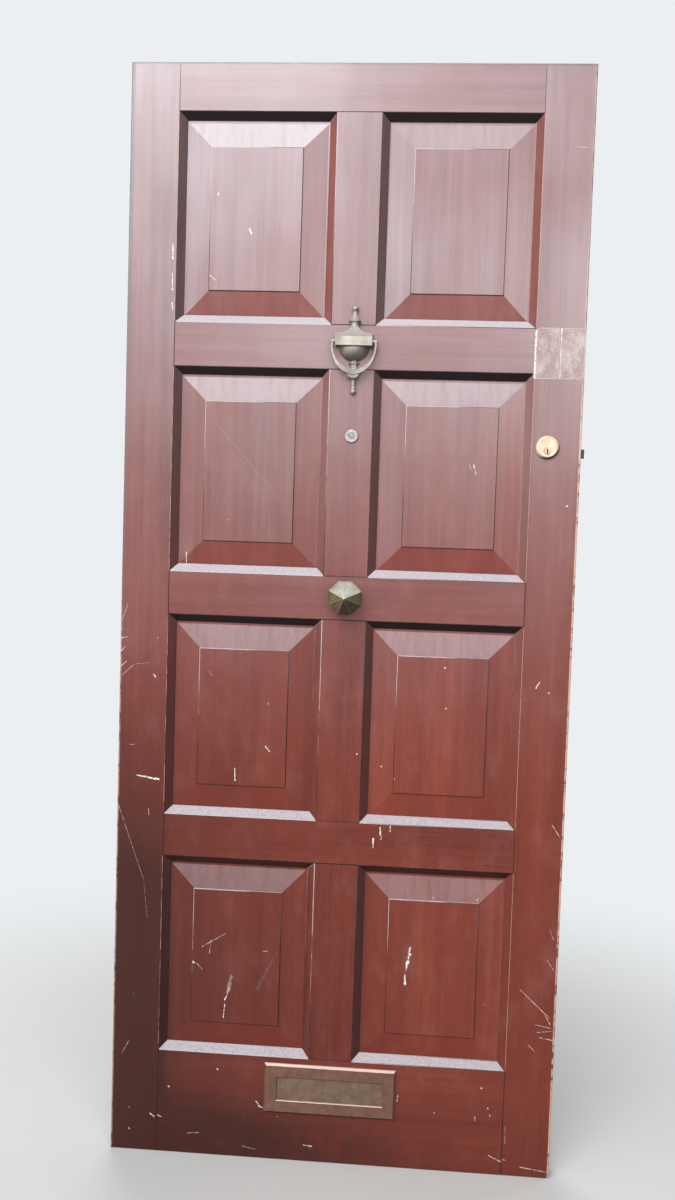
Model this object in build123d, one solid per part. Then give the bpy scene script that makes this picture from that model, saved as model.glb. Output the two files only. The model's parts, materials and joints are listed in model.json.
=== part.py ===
from build123d import *
import os
from math import atan2, cos, degrees, radians, sin

# Eight-panelled entrance door leaf with its knocker, viewer, knob, rim lock and letter plate.
# Millimetres. X runs to the right as seen from outside, Y goes into the door, Z is up.
# The origin is the middle of the leaf's bottom edge, halfway through its thickness.

# Leaf
leaf_width = 813.0
leaf_height = 1981.0
leaf_thickness = 44.0
leaf_arris = 2.5

# Framing: widths that show on the face, arris to arris
stile_face = 87.0
muntin_face = 79.0
top_rail_face = 84.0
mid_rail_face = 78.0
bottom_rail_face = 195.0
panel_rows = 4

# Sticking run on every edge that holds a panel
bevel_width = 13.5
bevel_depth = 11.5
lip = 1.5
groove_depth = 12.0

# Joints of the framing
joint_fit = 0.1
glue_gap = 2.0
rail_tenon = 50.0
muntin_tenon = 24.0
haunch = 9.0
muntin_tenon_width = 60.0
tenon_split = 40.0

# Raised and fielded panels
panel_fit = 0.15
expansion_gap = 2.2
rest_gap = 0.2
slope_width = 44.5
field_setback = 4.0
field_step = 2.2

# Butt hinge housings in the edge of the hinge stile
hinge_length = 100.0
hinge_leaf_width = 30.0
hinge_housing_depth = 3.0
hinge_top_margin = 150.0
hinge_bottom_margin = 225.0
hinge_screw_radius = 1.5
hinge_screw_depth = 32.0
hinge_screw_pitch = 24.0
hinge_screw_stagger = 4.0

# Urn knocker, measured from its bail pivot line
knocker_x = 3.0
knocker_below_opening = 31.0
knocker_pivot_reach = 14.0
block_width = 65.0
cast_unit = block_width / 65.0
block_depth = 27.0
block_drop = 8.0
block_rise = 13.5
block_slope = 6.0
block_slope_setback = 5.0
boss_radius = 4.2
bail_half_width = 40.0
bail_drop = 57.0
bail_straight = 7.0
bail_strap = 3.2
bail_crescent = 8.0
bail_depth = 9.0
bail_bead_radius = 12.0
bail_bead_drop = 8.5
bail_bead_setback = 2.0
bail_bead_round = 3.0
bail_pad_radius = 7.0
bail_side_gap = 0.3
pivot_pin_radius = 2.0
running_fit = 0.1
pin_head_radius = 2.8
pin_head = 1.2
pin_grip = 9.0
strike_reach = 8.0
strike_radius = 9.0
spine_half_width = 3.6
spine_depth = 5.0
spine_drop = 75.0
bowl_radius = 27.0
bowl_axis_setback = 4.0
finial_reach = 7.0
knocker_bolt_radius = 3.0
knocker_bolt_bite = 9.0
knocker_lower_bolt_drop = 61.0

# Bolt heads and washers on the inner face
bolt_head_radius = 5.5
bolt_head = 4.0
washer_radius = 8.0
washer = 1.5
bolt_clearance = 0.4
thread_fit = 0.05

# Door viewer
viewer_x = 3.0
viewer_drop = 164.0
viewer_flange_radius = 12.5
viewer_flange = 3.0
viewer_tube_radius = 8.6
viewer_wall = 1.2
viewer_hole_gap = 0.3
viewer_barrel_length = 30.0
viewer_sleeve_length = 32.0
lens_lip = 1.1
lens_thickness = 4.0
lens_bulge = 1.6

# Octagonal centre knob
knob_x = 2.5
knob_below_opening = 36.0
knob_across_flats = 59.0
knob_apex_reach = 58.0
knob_rim_reach = 37.0
knob_bevel = 6.0
knob_bevel_width = 4.2
knob_girdle = 2.0
knob_neck_radius = 12.0
knob_neck_reach = 14.0
knob_waist_length = 6.0
knob_apex_flat = 0.03
knob_base_radius = 22.0
knob_base = 4.0
knob_bolt_radius = 4.0
knob_bolt_bite = 22.0

# Rim cylinder
cylinder_backset = 59.0
cylinder_rise = 275.5
ring_radius = 21.0
ring_reach = 7.0
ring_wall = 3.2
ring_shoulder = 5.2
ring_shoulder_inset = 1.2
ring_lip = 1.4
cylinder_radius = 15.5
cylinder_fit = 0.2
cylinder_hole_gap = 1.0
cylinder_length = 36.0
plug_drop = 6.5
plug_radius = 6.5
plug_face = 1.6
keyway_width = 1.8
keyway_height = 8.5
tail_width = 8.0
tail_thickness = 2.0
tail_fit = 0.3
tail_bite = 8.0
plate_side = 45.0
plate_thickness = 2.0
plate_bore = 7.0
connector_spacing = 9.0
connector_radius = 2.5
connector_head_radius = 4.4
connector_head = 2.0
connector_bite = 12.0

# Rim night latch on the inner face
case_plate_gap = 2.0
case_height = 66.0
case_depth = 30.0
case_wall = 2.5
case_arris = 3.0
case_boss_radius = 4.5
case_boss_inset = 5.5
case_screw_radius = 2.0
case_screw_length = 46.0
case_screw_head_radius = 3.8
case_screw_head = 2.4
latch_throw = 13.0
latch_turn = 60.0
latch_head_height = 16.0
latch_head_depth = 14.0
latch_head_length = 21.0
latch_head_setback = 8.0
latch_fit = 0.3
latch_bevel = 10.0
latch_arm = 3.0
latch_hook = 5.0
finger_radius = 2.0
finger_clearance = 0.4
finger_shank = 2.4
hook_overlap = 1.4
cam_radius = 8.0
spindle_radius = 6.0
turn_radius = 17.0
turn_thickness = 13.0
turn_gap = 1.0
latch_spring_radius = 4.0
latch_spring_wire = 0.7
latch_spring_turns = 7
spring_post = 4.0
snib_travel = 5.0
snib_lug = 4.0
snib_lug_height = 6.0
snib_gap = 0.6
snib_tab = 3.0
snib_button_radius = 4.0
snib_button = 5.0

# Letter plate and its inward flap
letter_x = 1.0
letter_below_opening = 57.5
letter_width = 242.0
letter_depth = 93.0
letter_thickness = 6.0
letter_edge = 3.6
aperture_edge = 1.0
aperture_side = 23.5
aperture_margin = 24.75
flap_thickness = 2.5
flap_setback = 3.8
flap_overlap = 2.6
flap_gap = 0.4
flap_pin_radius = 1.5
flap_pin_rise = 4.3
knuckle_radius = 3.0
lug_thickness = 4.0
lug_radius = 3.6
slot_gap = 0.8
letter_bolt_radius = 2.5
letter_bolt_inset = 10.0
letter_bolt_bite = 3.6
flap_spring_length = 10.0
flap_spring_wire = 0.8
flap_spring_turns = 6.25
flap_spring_gap = 0.25
flap_spring_leg = 9.0
flap_spring_lean = 0.3

# Planes and lines that follow from the sizes above
front = -leaf_thickness / 2
back = leaf_thickness / 2
half_width = leaf_width / 2
groove_width = leaf_thickness - 2 * (bevel_depth + lip)
sight_x = half_width - stile_face
opening_width = (leaf_width - 2 * stile_face - muntin_face) / 2
rails_height = top_rail_face + bottom_rail_face + (panel_rows - 1) * mid_rail_face
opening_height = (leaf_height - rails_height) / panel_rows
row_pitch = opening_height + mid_rail_face
cylinder_x = half_width - cylinder_backset
case_width = cylinder_backset + plate_side / 2 + case_wall + case_plate_gap
boss_length = bail_half_width - bail_strap - bail_side_gap - block_width / 2
aperture_width = letter_width - 2 * aperture_side
aperture_height = letter_depth - 2 * aperture_margin


def opening_bottom(row):
    """Height of the lower arris of a panel opening; row 1 is the top row."""
    return bottom_rail_face + (panel_rows - row) * row_pitch


# Heights of the fittings, tied to the rail that carries each
knocker_pivot_height = opening_bottom(1) - knocker_below_opening
viewer_height = knocker_pivot_height - viewer_drop
knob_height = opening_bottom(2) - knob_below_opening
cylinder_height = knob_height + cylinder_rise
latch_z = cylinder_height - plug_drop
letter_height = bottom_rail_face - letter_below_opening


def opening_centre_x(side):
    """Middle of an opening; side is -1 for the left column and 1 for the right."""
    return side * (muntin_face + opening_width) / 2


def rod(radius, start, end, x=0.0, z=0.0):
    """Round bar along Y from start to end."""
    turned = Plane(origin=(x, start, z), x_dir=(1, 0, 0), z_dir=(0, 1, 0))
    return extrude(turned * Circle(radius), end - start)


def cross_rod(radius, start, end, y=0.0, z=0.0):
    """Round bar along X from start to end."""
    turned = Plane(origin=(start, y, z), x_dir=(0, 1, 0), z_dir=(1, 0, 0))
    return extrude(turned * Circle(radius), end - start)


def block(low_x, high_x, low_y, high_y, low_z, high_z):
    """Square block between six planes."""
    centre = ((low_x + high_x) / 2, (low_y + high_y) / 2, (low_z + high_z) / 2)
    return Pos(*centre) * Box(high_x - low_x, high_y - low_y, high_z - low_z)


def both_sides(x):
    return (-x, x)


# Framing

def member_outline(low, high, low_stuck, high_stuck):
    """Section of a stile, rail or muntin: bevelled sticking and a panel groove on its stuck edges."""
    points = []
    if high_stuck:
        edge = high + bevel_width
        points += [(high, front), (edge, front + bevel_depth), (edge, -groove_width / 2)]
        points += [(edge - groove_depth, -groove_width / 2), (edge - groove_depth, groove_width / 2)]
        points += [(edge, groove_width / 2), (edge, back - bevel_depth), (high, back)]
    else:
        points += [(high, front), (high, back)]
    if low_stuck:
        edge = low - bevel_width
        points += [(low, back), (edge, back - bevel_depth), (edge, groove_width / 2)]
        points += [(edge + groove_depth, groove_width / 2), (edge + groove_depth, -groove_width / 2)]
        points += [(edge, -groove_width / 2), (edge, front + bevel_depth), (low, front)]
    else:
        points += [(low, back), (low, front)]
    return make_face(Polyline(*points, close=True))


def upright(low_x, high_x, low_z, high_z, low_stuck, high_stuck):
    """Length of stile or muntin stock."""
    section = Plane.XY.offset(low_z) * member_outline(low_x, high_x, low_stuck, high_stuck)
    return extrude(section, high_z - low_z)


def crosspiece(low_x, high_x, low_z, high_z, low_stuck, high_stuck):
    """Length of rail stock; its section is symmetrical front to back."""
    ends = Plane(origin=(low_x, 0, 0), x_dir=(0, 0, 1), z_dir=(1, 0, 0))
    return extrude(ends * member_outline(low_z, high_z, low_stuck, high_stuck), high_x - low_x)


def stile_stock(side):
    if side < 0:
        return upright(-half_width, -sight_x, 0, leaf_height, False, True)
    return upright(sight_x, half_width, 0, leaf_height, True, False)


def rail_lines():
    """Low and high arris of each rail with its stuck edges, from the bottom rail up."""
    lines = [(0.0, bottom_rail_face, False, True)]
    for row in range(panel_rows, 1, -1):
        low = opening_bottom(row) + opening_height
        lines.append((low, low + mid_rail_face, True, True))
    lines.append((leaf_height - top_rail_face, leaf_height, True, False))
    return lines


def rail_stock(line):
    low, high, low_stuck, high_stuck = line
    return crosspiece(-sight_x, sight_x, low, high, low_stuck, high_stuck)


def tenon_spans(line):
    """Heights of the tenons of one rail: a single one, or a pair on the deep bottom rail."""
    low, high, low_stuck, high_stuck = line
    inset = groove_depth - bevel_width + haunch
    low_end = low + inset if low_stuck else low + haunch + bevel_width
    high_end = high - inset if high_stuck else high - haunch - bevel_width
    if high - low < 2 * mid_rail_face:
        return [(low_end, high_end)]
    middle = (low_end + high_end) / 2
    return [(low_end, middle - tenon_split / 2), (middle + tenon_split / 2, high_end)]


def rail_tenons(line, grow=0.0, deepen=0.0):
    """Tenons of one rail, or the mortices that take them when they are grown."""
    shoulder = sight_x - bevel_width
    cheek = groove_width / 2 - joint_fit + grow
    bars = []
    for low, high in tenon_spans(line):
        for side in both_sides(1):
            ends = sorted((side * (shoulder + groove_depth - 0.5), side * (shoulder + rail_tenon + deepen)))
            bars.append(block(ends[0], ends[1], -cheek, cheek, low - grow, high + grow))
    return bars


def muntin_tenons(low_z, high_z, grow=0.0, deepen=0.0):
    """Stub tenons at the two ends of a muntin, or their mortices."""
    cheek = groove_width / 2 - joint_fit + grow
    half = muntin_tenon_width / 2 + grow
    reach = muntin_tenon + deepen - bevel_width
    start = groove_depth - bevel_width - 0.5
    lower = block(-half, half, -cheek, cheek, low_z - reach, low_z - start)
    upper = block(-half, half, -cheek, cheek, high_z + start, high_z + reach)
    return [lower, upper]


def ease_ends(shape, planes):
    """Round the outer arrises of the leaf: edges lying on its faces and on the planes named."""
    picked = []
    for edge in shape.edges():
        middle = edge.center()
        on_face = abs(abs(middle.Y) - leaf_thickness / 2) < 0.01 and edge.length > 20
        if on_face and any(abs(getattr(middle, axis) - value) < 0.01 for axis, value in planes):
            picked.append(edge)
    return fillet(picked, leaf_arris)


def hinge_centres():
    """Heights of the three butt hinges."""
    top = leaf_height - hinge_top_margin - hinge_length / 2
    bottom = hinge_bottom_margin + hinge_length / 2
    return [top, (top + bottom) / 2, bottom]


def hinge_housing(height):
    """Recess for one hinge leaf with its four staggered pilot holes."""
    floor = -half_width + hinge_housing_depth
    recess = block(-half_width - 1, floor, back - hinge_leaf_width, back + 1,
                   height - hinge_length / 2, height + hinge_length / 2)
    cuts = [recess]
    line = back - hinge_leaf_width / 2
    for index in range(4):
        stagger = hinge_screw_stagger if index % 2 else -hinge_screw_stagger
        z = height + (index - 1.5) * hinge_screw_pitch
        cuts.append(cross_rod(hinge_screw_radius, floor - 1, floor + hinge_screw_depth, line + stagger, z))
    return cuts


def make_hinge_stile():
    stile = stile_stock(-1)
    for line in rail_lines():
        stile -= rail_tenons(line, joint_fit, glue_gap)
    stile = ease_ends(stile, (("X", -half_width), ("Z", 0), ("Z", leaf_height)))
    for height in hinge_centres():
        stile -= hinge_housing(height)
    return stile


def make_lock_stile():
    stile = stile_stock(1)
    for line in rail_lines():
        stile -= rail_tenons(line, joint_fit, glue_gap)
    stile = ease_ends(stile, (("X", half_width), ("Z", 0), ("Z", leaf_height)))
    stile -= rod(cylinder_radius + cylinder_hole_gap, front - 1, back + 1, cylinder_x, cylinder_height)
    for x, z in case_screw_places():
        start = back + case_depth - case_screw_length
        stile -= rod(case_screw_radius + thread_fit, start, back + 1, x, z)
    return stile


def muntin_line(row):
    low = opening_bottom(row)
    return low, low + opening_height


def make_rail(index, cuts=()):
    """One rail, coped over both stiles, with tenons and the mortices of the muntins it holds."""
    line = rail_lines()[index]
    rail = rail_stock(line) - stile_stock(-1) - stile_stock(1) + rail_tenons(line)
    for row in range(1, panel_rows + 1):
        low, high = muntin_line(row)
        lower, upper = muntin_tenons(low, high, joint_fit, glue_gap)
        if abs(high - line[0]) < 0.01:
            rail -= upper
        if abs(low - line[1]) < 0.01:
            rail -= lower
    if index == 0:
        rail = ease_ends(rail, (("Z", 0),))
    if index == panel_rows:
        rail = ease_ends(rail, (("Z", leaf_height),))
    for cut in cuts:
        rail -= cut
    return rail


def make_muntin(row, cuts=()):
    """One muntin, coped over the rails above and below it."""
    low, high = muntin_line(row)
    stock = upright(-muntin_face / 2, muntin_face / 2, low, high, True, True)
    lines = rail_lines()
    below = lines[panel_rows - row]
    above = lines[panel_rows - row + 1]
    muntin = stock - rail_stock(below) - rail_stock(above) + muntin_tenons(low, high)
    for cut in cuts:
        muntin -= cut
    return muntin


def make_panel(row, side):
    """Raised and fielded panel, both faces alike, resting low in its groove."""
    inner_width = opening_width - 2 * bevel_width
    inner_height = opening_height - 2 * bevel_width
    tongue = groove_depth - expansion_gap
    edge_half = groove_width / 2 - panel_fit
    field_half = leaf_thickness / 2 - field_setback
    rise = field_half - field_step - edge_half
    run = slope_width - expansion_gap
    panel = Box(inner_width + 2 * tongue, 2 * edge_half, inner_height + 2 * tongue)
    for face in both_sides(1):
        outward = Plane(origin=(0, 0, 0), x_dir=(1, 0, 0), z_dir=(0, face, 0))
        foot = Rectangle(inner_width - 2 * expansion_gap, inner_height - 2 * expansion_gap)
        field = Rectangle(inner_width - 2 * slope_width, inner_height - 2 * slope_width)
        panel += extrude(outward.offset(edge_half) * foot, rise, taper=degrees(atan2(run, rise)))
        panel += extrude(outward.offset(field_half - field_step) * field, field_step)
    sink = expansion_gap - rest_gap
    return Pos(opening_centre_x(side), 0, opening_bottom(row) + opening_height / 2 - sink) * panel


# Urn knocker

knocker_top = knocker_pivot_height + block_rise
knocker_base = knocker_pivot_height - block_drop
knocker_bolts = (knocker_pivot_height, knocker_pivot_height - knocker_lower_bolt_drop)
bail_axis_y = front - knocker_pivot_reach


def turned_on_face(points, base, setback):
    """Revolve an outline of (radius, rise) points about an upright axis and keep what stands proud."""
    axis_y = front + setback
    placed = [(cast_unit * radius, base + cast_unit * rise) for radius, rise in points]
    facing = Plane(origin=(knocker_x, axis_y, 0), x_dir=(1, 0, 0), z_dir=(0, -1, 0))
    section = facing * make_face(Polyline(*placed, close=True))
    solid = revolve(section, Axis((knocker_x, axis_y, 0), (0, 0, 1)))
    reach = 2 * bowl_radius
    keep = block(knocker_x - reach, knocker_x + reach, front - reach, front, 0, leaf_height)
    return solid & keep


def ball_points(radius, centre, start, stop, step):
    """Points of a ball's outline from one latitude to another."""
    angles = [radians(angle) for angle in range(start, stop, step)]
    return [(radius * cos(angle), centre + radius * sin(angle)) for angle in angles]


def knocker_block():
    """Block of the urn, its upper front edge sloped back."""
    brow = knocker_top - block_slope
    outline = [(front, knocker_base), (front - block_depth, knocker_base), (front - block_depth, brow)]
    outline += [(front - block_depth + block_slope_setback, knocker_top), (front, knocker_top)]
    side = Plane(origin=(knocker_x - block_width / 2, 0, 0), x_dir=(0, 1, 0), z_dir=(1, 0, 0))
    return extrude(side * make_face(Polyline(*outline, close=True)), block_width)


def knocker_finial():
    """Ball over a bell-shaped skirt and a round neck."""
    outline = [(0, 6), (7.8, 6), (7.5, 12), (7.5, 21), (10.8, 21.5), (10.8, 23.5)]
    outline += [(8.6, 26.5), (6.9, 30), (5.2, 33.5), (3.8, 36.8)]
    outline += ball_points(6.0, 44.3, -51, 90, 15) + [(0, 50.3)]
    return turned_on_face(outline, knocker_top, -finial_reach)


def knocker_shoulders():
    """Swept roof from the block up to the neck: widths and depths at rising heights."""
    top_depth = block_depth - block_slope_setback
    sections = [(0, 1.0, 1.0), (0.8, 0.70, 0.98), (2.4, 0.52, 0.93)]
    sections += [(5.5, 0.355, 0.83), (10.5, 0.245, 0.69), (15, 0.16, 0.55)]
    faces = []
    for rise, wide, deep in sections:
        depth = top_depth * deep
        plan = Pos(knocker_x, front - depth / 2, knocker_top + cast_unit * rise)
        faces.append(plan * Rectangle(block_width * wide, depth))
    return loft(faces, ruled=True)


def knocker_bowl():
    """Half-urn under the block with its collar, neck and spreading foot."""
    outline = [(0, 1), (bowl_radius / cast_unit - 1.5, 1)]
    outline += [(bowl_radius / cast_unit * cos(radians(angle)), -2 - 24 * sin(radians(angle)))
                for angle in range(0, 76, 12)]
    outline += [(9.4, -26.3), (11.5, -27.6), (11.5, -29.6), (8.8, -31.2), (8.3, -34.5)]
    outline += [(8.9, -37.5), (11.0, -41), (11.6, -44), (0, -44)]
    return turned_on_face(outline, knocker_base, bowl_axis_setback)


def knocker_drop():
    """Pendant finial under the strike pad."""
    outline = [(0, 1.5), (4.2, 1.5), (4.2, -10), (3.8, -17.5), (5.2, -20.5)]
    outline += ball_points(5.6, -25.4, 45, -90, -15) + [(0, -31)]
    return turned_on_face(outline, knocker_pivot_height - bail_drop - 4 * cast_unit, -4.0 * cast_unit)


def make_knocker_body():
    """Cast urn with a flat back: finial, block, bowl, strike pad, spine and drop in one piece."""
    half = block_width / 2
    body = knocker_block()
    body += knocker_shoulders()
    body += knocker_finial()
    body += knocker_bowl()
    spine_foot = knocker_pivot_height - spine_drop
    spine_ends = (knocker_x - spine_half_width, knocker_x + spine_half_width)
    body += block(spine_ends[0], spine_ends[1], front - spine_depth, front, spine_foot, knocker_base - 20)
    body += rod(strike_radius, front - strike_reach, front, knocker_x, knocker_pivot_height - bail_drop + 1)
    body += knocker_drop()
    for side in both_sides(1):
        ends = sorted((knocker_x + side * (half - 1), knocker_x + side * (half + boss_length)))
        body += cross_rod(boss_radius, ends[0], ends[1], bail_axis_y, knocker_pivot_height)
        mouth = half + boss_length
        hole = sorted((knocker_x + side * (mouth + 1), knocker_x + side * (mouth - pin_grip)))
        body -= cross_rod(pivot_pin_radius, hole[0], hole[1], bail_axis_y, knocker_pivot_height)
    for height in knocker_bolts:
        depth = knocker_bolt_bite if height == knocker_bolts[0] else strike_reach - 2.0
        body -= rod(knocker_bolt_radius + thread_fit, front - depth, front + 1, knocker_x, height)
    return body


def bail_bead(back_y):
    """Flat-backed rounded bead under the middle of the bail."""
    centre = Plane(origin=(knocker_x, back_y, knocker_pivot_height - bail_drop + 1),
                   x_dir=(1, 0, 0), z_dir=(0, -1, 0))
    below = Pos(0, -bail_bead_drop) * Rectangle(4 * bail_bead_radius, 2 * bail_bead_drop)
    outline = Ellipse(bail_bead_radius, bail_bead_drop + 1) & below
    bead = extrude(centre * outline, bail_depth - bail_bead_setback)
    return fillet(bead.edges().group_by(Axis.Y)[0], bail_bead_round)


def make_knocker_bail():
    """Strap bent to a U that swells to a crescent, with pivot eyes, a bead and a striking pad."""
    straight_z = knocker_pivot_height - bail_straight
    curve_drop = bail_drop - bail_straight
    outer = Ellipse(bail_half_width, curve_drop)
    inner = Ellipse(bail_half_width - bail_strap, curve_drop - bail_crescent)
    lower = Pos(0, -bail_drop) * Rectangle(4 * bail_half_width, 2 * bail_drop)
    curve = (outer - inner) & lower
    back_y = bail_axis_y + bail_depth / 2
    facing = Plane(origin=(knocker_x, back_y, straight_z), x_dir=(1, 0, 0), z_dir=(0, -1, 0))
    bail = extrude(facing * curve, bail_depth)
    for side in both_sides(1):
        ends = sorted((knocker_x + side * (bail_half_width - bail_strap), knocker_x + side * bail_half_width))
        bail += block(ends[0], ends[1], back_y - bail_depth, back_y, straight_z - 0.5, knocker_pivot_height)
        bail += cross_rod(bail_depth / 2, ends[0], ends[1], bail_axis_y, knocker_pivot_height)
    bail += bail_bead(back_y)
    strike = front - strike_reach - bail_side_gap
    pad_z = knocker_pivot_height - bail_drop + 1
    bail += rod(bail_pad_radius, back_y - 0.5, strike, knocker_x, pad_z)
    for side in both_sides(1):
        ends = sorted((knocker_x + side * (block_width / 2), knocker_x + side * (bail_half_width + 1)))
        bail -= cross_rod(pivot_pin_radius + running_fit, ends[0], ends[1], bail_axis_y, knocker_pivot_height)
    return bail


def make_knocker_pins():
    """Two headed pivot pins pressed into the ends of the block."""
    pins = []
    for side in both_sides(1):
        face = knocker_x + side * (bail_half_width + bail_side_gap)
        root = knocker_x + side * (block_width / 2 + boss_length - pin_grip + 0.5)
        shank = sorted((root, face))
        head = sorted((face, face + side * pin_head))
        pin = cross_rod(pivot_pin_radius, shank[0], shank[1], bail_axis_y, knocker_pivot_height)
        pin += cross_rod(pin_head_radius, head[0], head[1], bail_axis_y, knocker_pivot_height)
        pins.append(pin)
    return Compound(children=pins)


def through_bolt(radius, tip, x, z):
    """Round-headed bolt put in from the inner face, standing on a washer."""
    seat = back + washer
    bolt = rod(radius, tip, seat, x, z) + rod(bolt_head_radius, seat, seat + bolt_head, x, z)
    crown = bolt.edges().group_by(Axis.Y)[-1]
    bolt = fillet(crown, bolt_head * 0.45)
    half = bolt_head_radius + 1
    top = seat + bolt_head
    return bolt - block(x - half, x + half, top - 1.3, top + 1, z - 0.7, z + 0.7)


def flat_washer(radius, x, z):
    disc = rod(washer_radius, back, back + washer, x, z)
    return disc - rod(radius + bolt_clearance, back - 1, back + washer + 1, x, z)


def knocker_bolt_tip(height):
    depth = knocker_bolt_bite if height == knocker_bolts[0] else strike_reach - 2.0
    return front - depth + 0.5


def make_knocker_bolts():
    bolts = [through_bolt(knocker_bolt_radius, knocker_bolt_tip(z), knocker_x, z) for z in knocker_bolts]
    return Compound(children=bolts)


def make_knocker_washers():
    return Compound(children=[flat_washer(knocker_bolt_radius, knocker_x, z) for z in knocker_bolts])


def knocker_bolt_holes():
    radius = knocker_bolt_radius + bolt_clearance
    return [rod(radius, front - 1, back + 1, knocker_x, height) for height in knocker_bolts]


# Door viewer

viewer_bore = viewer_tube_radius - viewer_wall
sleeve_radius = viewer_bore - running_fit
sleeve_bore = sleeve_radius - viewer_wall
lens_mouth = viewer_bore - lens_lip
lens_seat = front - viewer_flange / 2


def make_viewer_barrel():
    """Outer flange and threaded barrel with a lip that holds the front lens."""
    barrel = rod(viewer_flange_radius, front - viewer_flange, front, viewer_x, viewer_height)
    barrel = fillet(barrel.edges().group_by(Axis.Y)[0], viewer_flange * 0.7)
    barrel += rod(viewer_tube_radius, front - 0.5, front + viewer_barrel_length, viewer_x, viewer_height)
    barrel -= rod(lens_mouth, front - viewer_flange - 1, front, viewer_x, viewer_height)
    return barrel - rod(viewer_bore, lens_seat, front + viewer_barrel_length + 1, viewer_x, viewer_height)


def lens(radius, face):
    """Lens with its bulge towards the street."""
    half = [(0, lens_bulge), (radius * 0.45, lens_bulge * 0.8), (radius * 0.8, lens_bulge * 0.36)]
    half += [(radius, 0), (radius, -lens_thickness), (0, -lens_thickness)]
    outline = Plane(origin=(viewer_x, face, viewer_height), x_dir=(1, 0, 0), z_dir=(0, 0, -1))
    return revolve(outline * make_face(Polyline(*half, close=True)),
                   Axis((viewer_x, face, viewer_height), (0, 1, 0)))


def make_viewer_lens():
    rim = rod(viewer_bore - 0.05, lens_seat + 0.05, lens_seat + 3.5, viewer_x, viewer_height)
    return rim + lens(lens_mouth - 0.3, lens_seat + 0.6)


def make_viewer_sleeve():
    """Inner flange and sleeve that screws into the barrel."""
    sleeve = rod(viewer_flange_radius, back, back + viewer_flange, viewer_x, viewer_height)
    sleeve = fillet(sleeve.edges().group_by(Axis.Y)[-1], viewer_flange * 0.6)
    sleeve += rod(sleeve_radius, back - viewer_sleeve_length, back + 0.5, viewer_x, viewer_height)
    inner_end = back - viewer_sleeve_length - 1
    outer_end = back + viewer_flange + 1
    sleeve -= rod(sleeve_bore - lens_lip, inner_end, outer_end, viewer_x, viewer_height)
    sleeve -= rod(sleeve_bore, inner_end, back - 2, viewer_x, viewer_height)
    for side in both_sides(1):
        x = viewer_x + side * viewer_flange_radius
        sleeve -= block(x - 2.5, x + 2.5, outer_end - 2.2, outer_end, viewer_height - 1, viewer_height + 1)
    return sleeve


def make_viewer_eyepiece():
    return rod(sleeve_bore - 0.05, back - 6, back - 2.05, viewer_x, viewer_height)


def viewer_hole():
    return rod(viewer_tube_radius + viewer_hole_gap, front - 1, back + 1, viewer_x, viewer_height)


# Centre knob

def octagon(across_flats):
    return Rot(0, 0, 22.5) * RegularPolygon(across_flats / 2 / cos(radians(22.5)), 8)


def make_centre_knob():
    """Octagonal head with a steep edge and a pointed front, tapered behind to a round neck and base."""
    toward = Plane(origin=(knob_x, front, knob_height), x_dir=(1, 0, 0), z_dir=(0, -1, 0))
    bevel_reach = knob_rim_reach - knob_bevel
    edge = toward.offset(bevel_reach) * octagon(knob_across_flats)
    head = extrude(edge, -knob_girdle)
    head += extrude(edge, knob_bevel, taper=degrees(atan2(knob_bevel_width, knob_bevel)))
    face_flats = knob_across_flats - 2 * knob_bevel_width
    rise = knob_apex_reach - knob_rim_reach
    run = face_flats / 2 * (1 - knob_apex_flat)
    foot = toward.offset(knob_rim_reach) * octagon(face_flats)
    head += extrude(foot, rise, taper=degrees(atan2(run, rise)))
    waist_reach = knob_neck_reach + knob_waist_length
    rise = bevel_reach - knob_girdle - waist_reach
    run = knob_across_flats / 2 - knob_neck_radius
    waist = toward.offset(waist_reach) * octagon(2 * knob_neck_radius)
    head += extrude(waist, rise, taper=-degrees(atan2(run, rise)))
    outline = [(0, 0), (knob_base_radius, 0), (knob_base_radius, knob_base - 1)]
    outline += [(knob_base_radius - 1.5, knob_base), (knob_neck_radius + 3, knob_base + 2.5)]
    outline += [(knob_neck_radius, knob_base + 6)]
    outline += [(knob_neck_radius, waist_reach + 2), (0, waist_reach + 2)]
    section = Plane(origin=(knob_x, front, knob_height), x_dir=(1, 0, 0), z_dir=(0, 0, 1))
    turned = section * make_face(Polyline(*[(x, -y) for x, y in outline], close=True))
    knob = head + revolve(turned, Axis((knob_x, front, knob_height), (0, 1, 0)))
    return knob - rod(knob_bolt_radius + thread_fit, front - knob_bolt_bite, front + 1, knob_x, knob_height)


def make_knob_bolt():
    return through_bolt(knob_bolt_radius, front - knob_bolt_bite + 0.5, knob_x, knob_height)


def make_knob_washer():
    return flat_washer(knob_bolt_radius, knob_x, knob_height)


def knob_bolt_hole():
    return rod(knob_bolt_radius + bolt_clearance, front - 1, back + 1, knob_x, knob_height)


# Rim cylinder

cylinder_back = front - ring_reach + plug_face + cylinder_length
tail_tip = back + plate_thickness + tail_bite


def make_cylinder_ring():
    """Raised rose with a sloped face, bored for the cylinder head that sits a little back in it."""
    bore = cylinder_radius + cylinder_fit
    outline = [(bore, 0), (ring_radius, 0), (ring_radius, ring_wall)]
    outline += [(ring_radius - ring_shoulder_inset, ring_shoulder)]
    outline += [(bore + ring_lip, ring_reach), (bore, ring_reach)]
    section = Plane(origin=(cylinder_x, front, cylinder_height), x_dir=(1, 0, 0), z_dir=(0, 0, 1))
    turned = section * make_face(Polyline(*[(x, -y) for x, y in outline], close=True))
    return revolve(turned, Axis((cylinder_x, front, cylinder_height), (0, 1, 0)))


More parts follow.
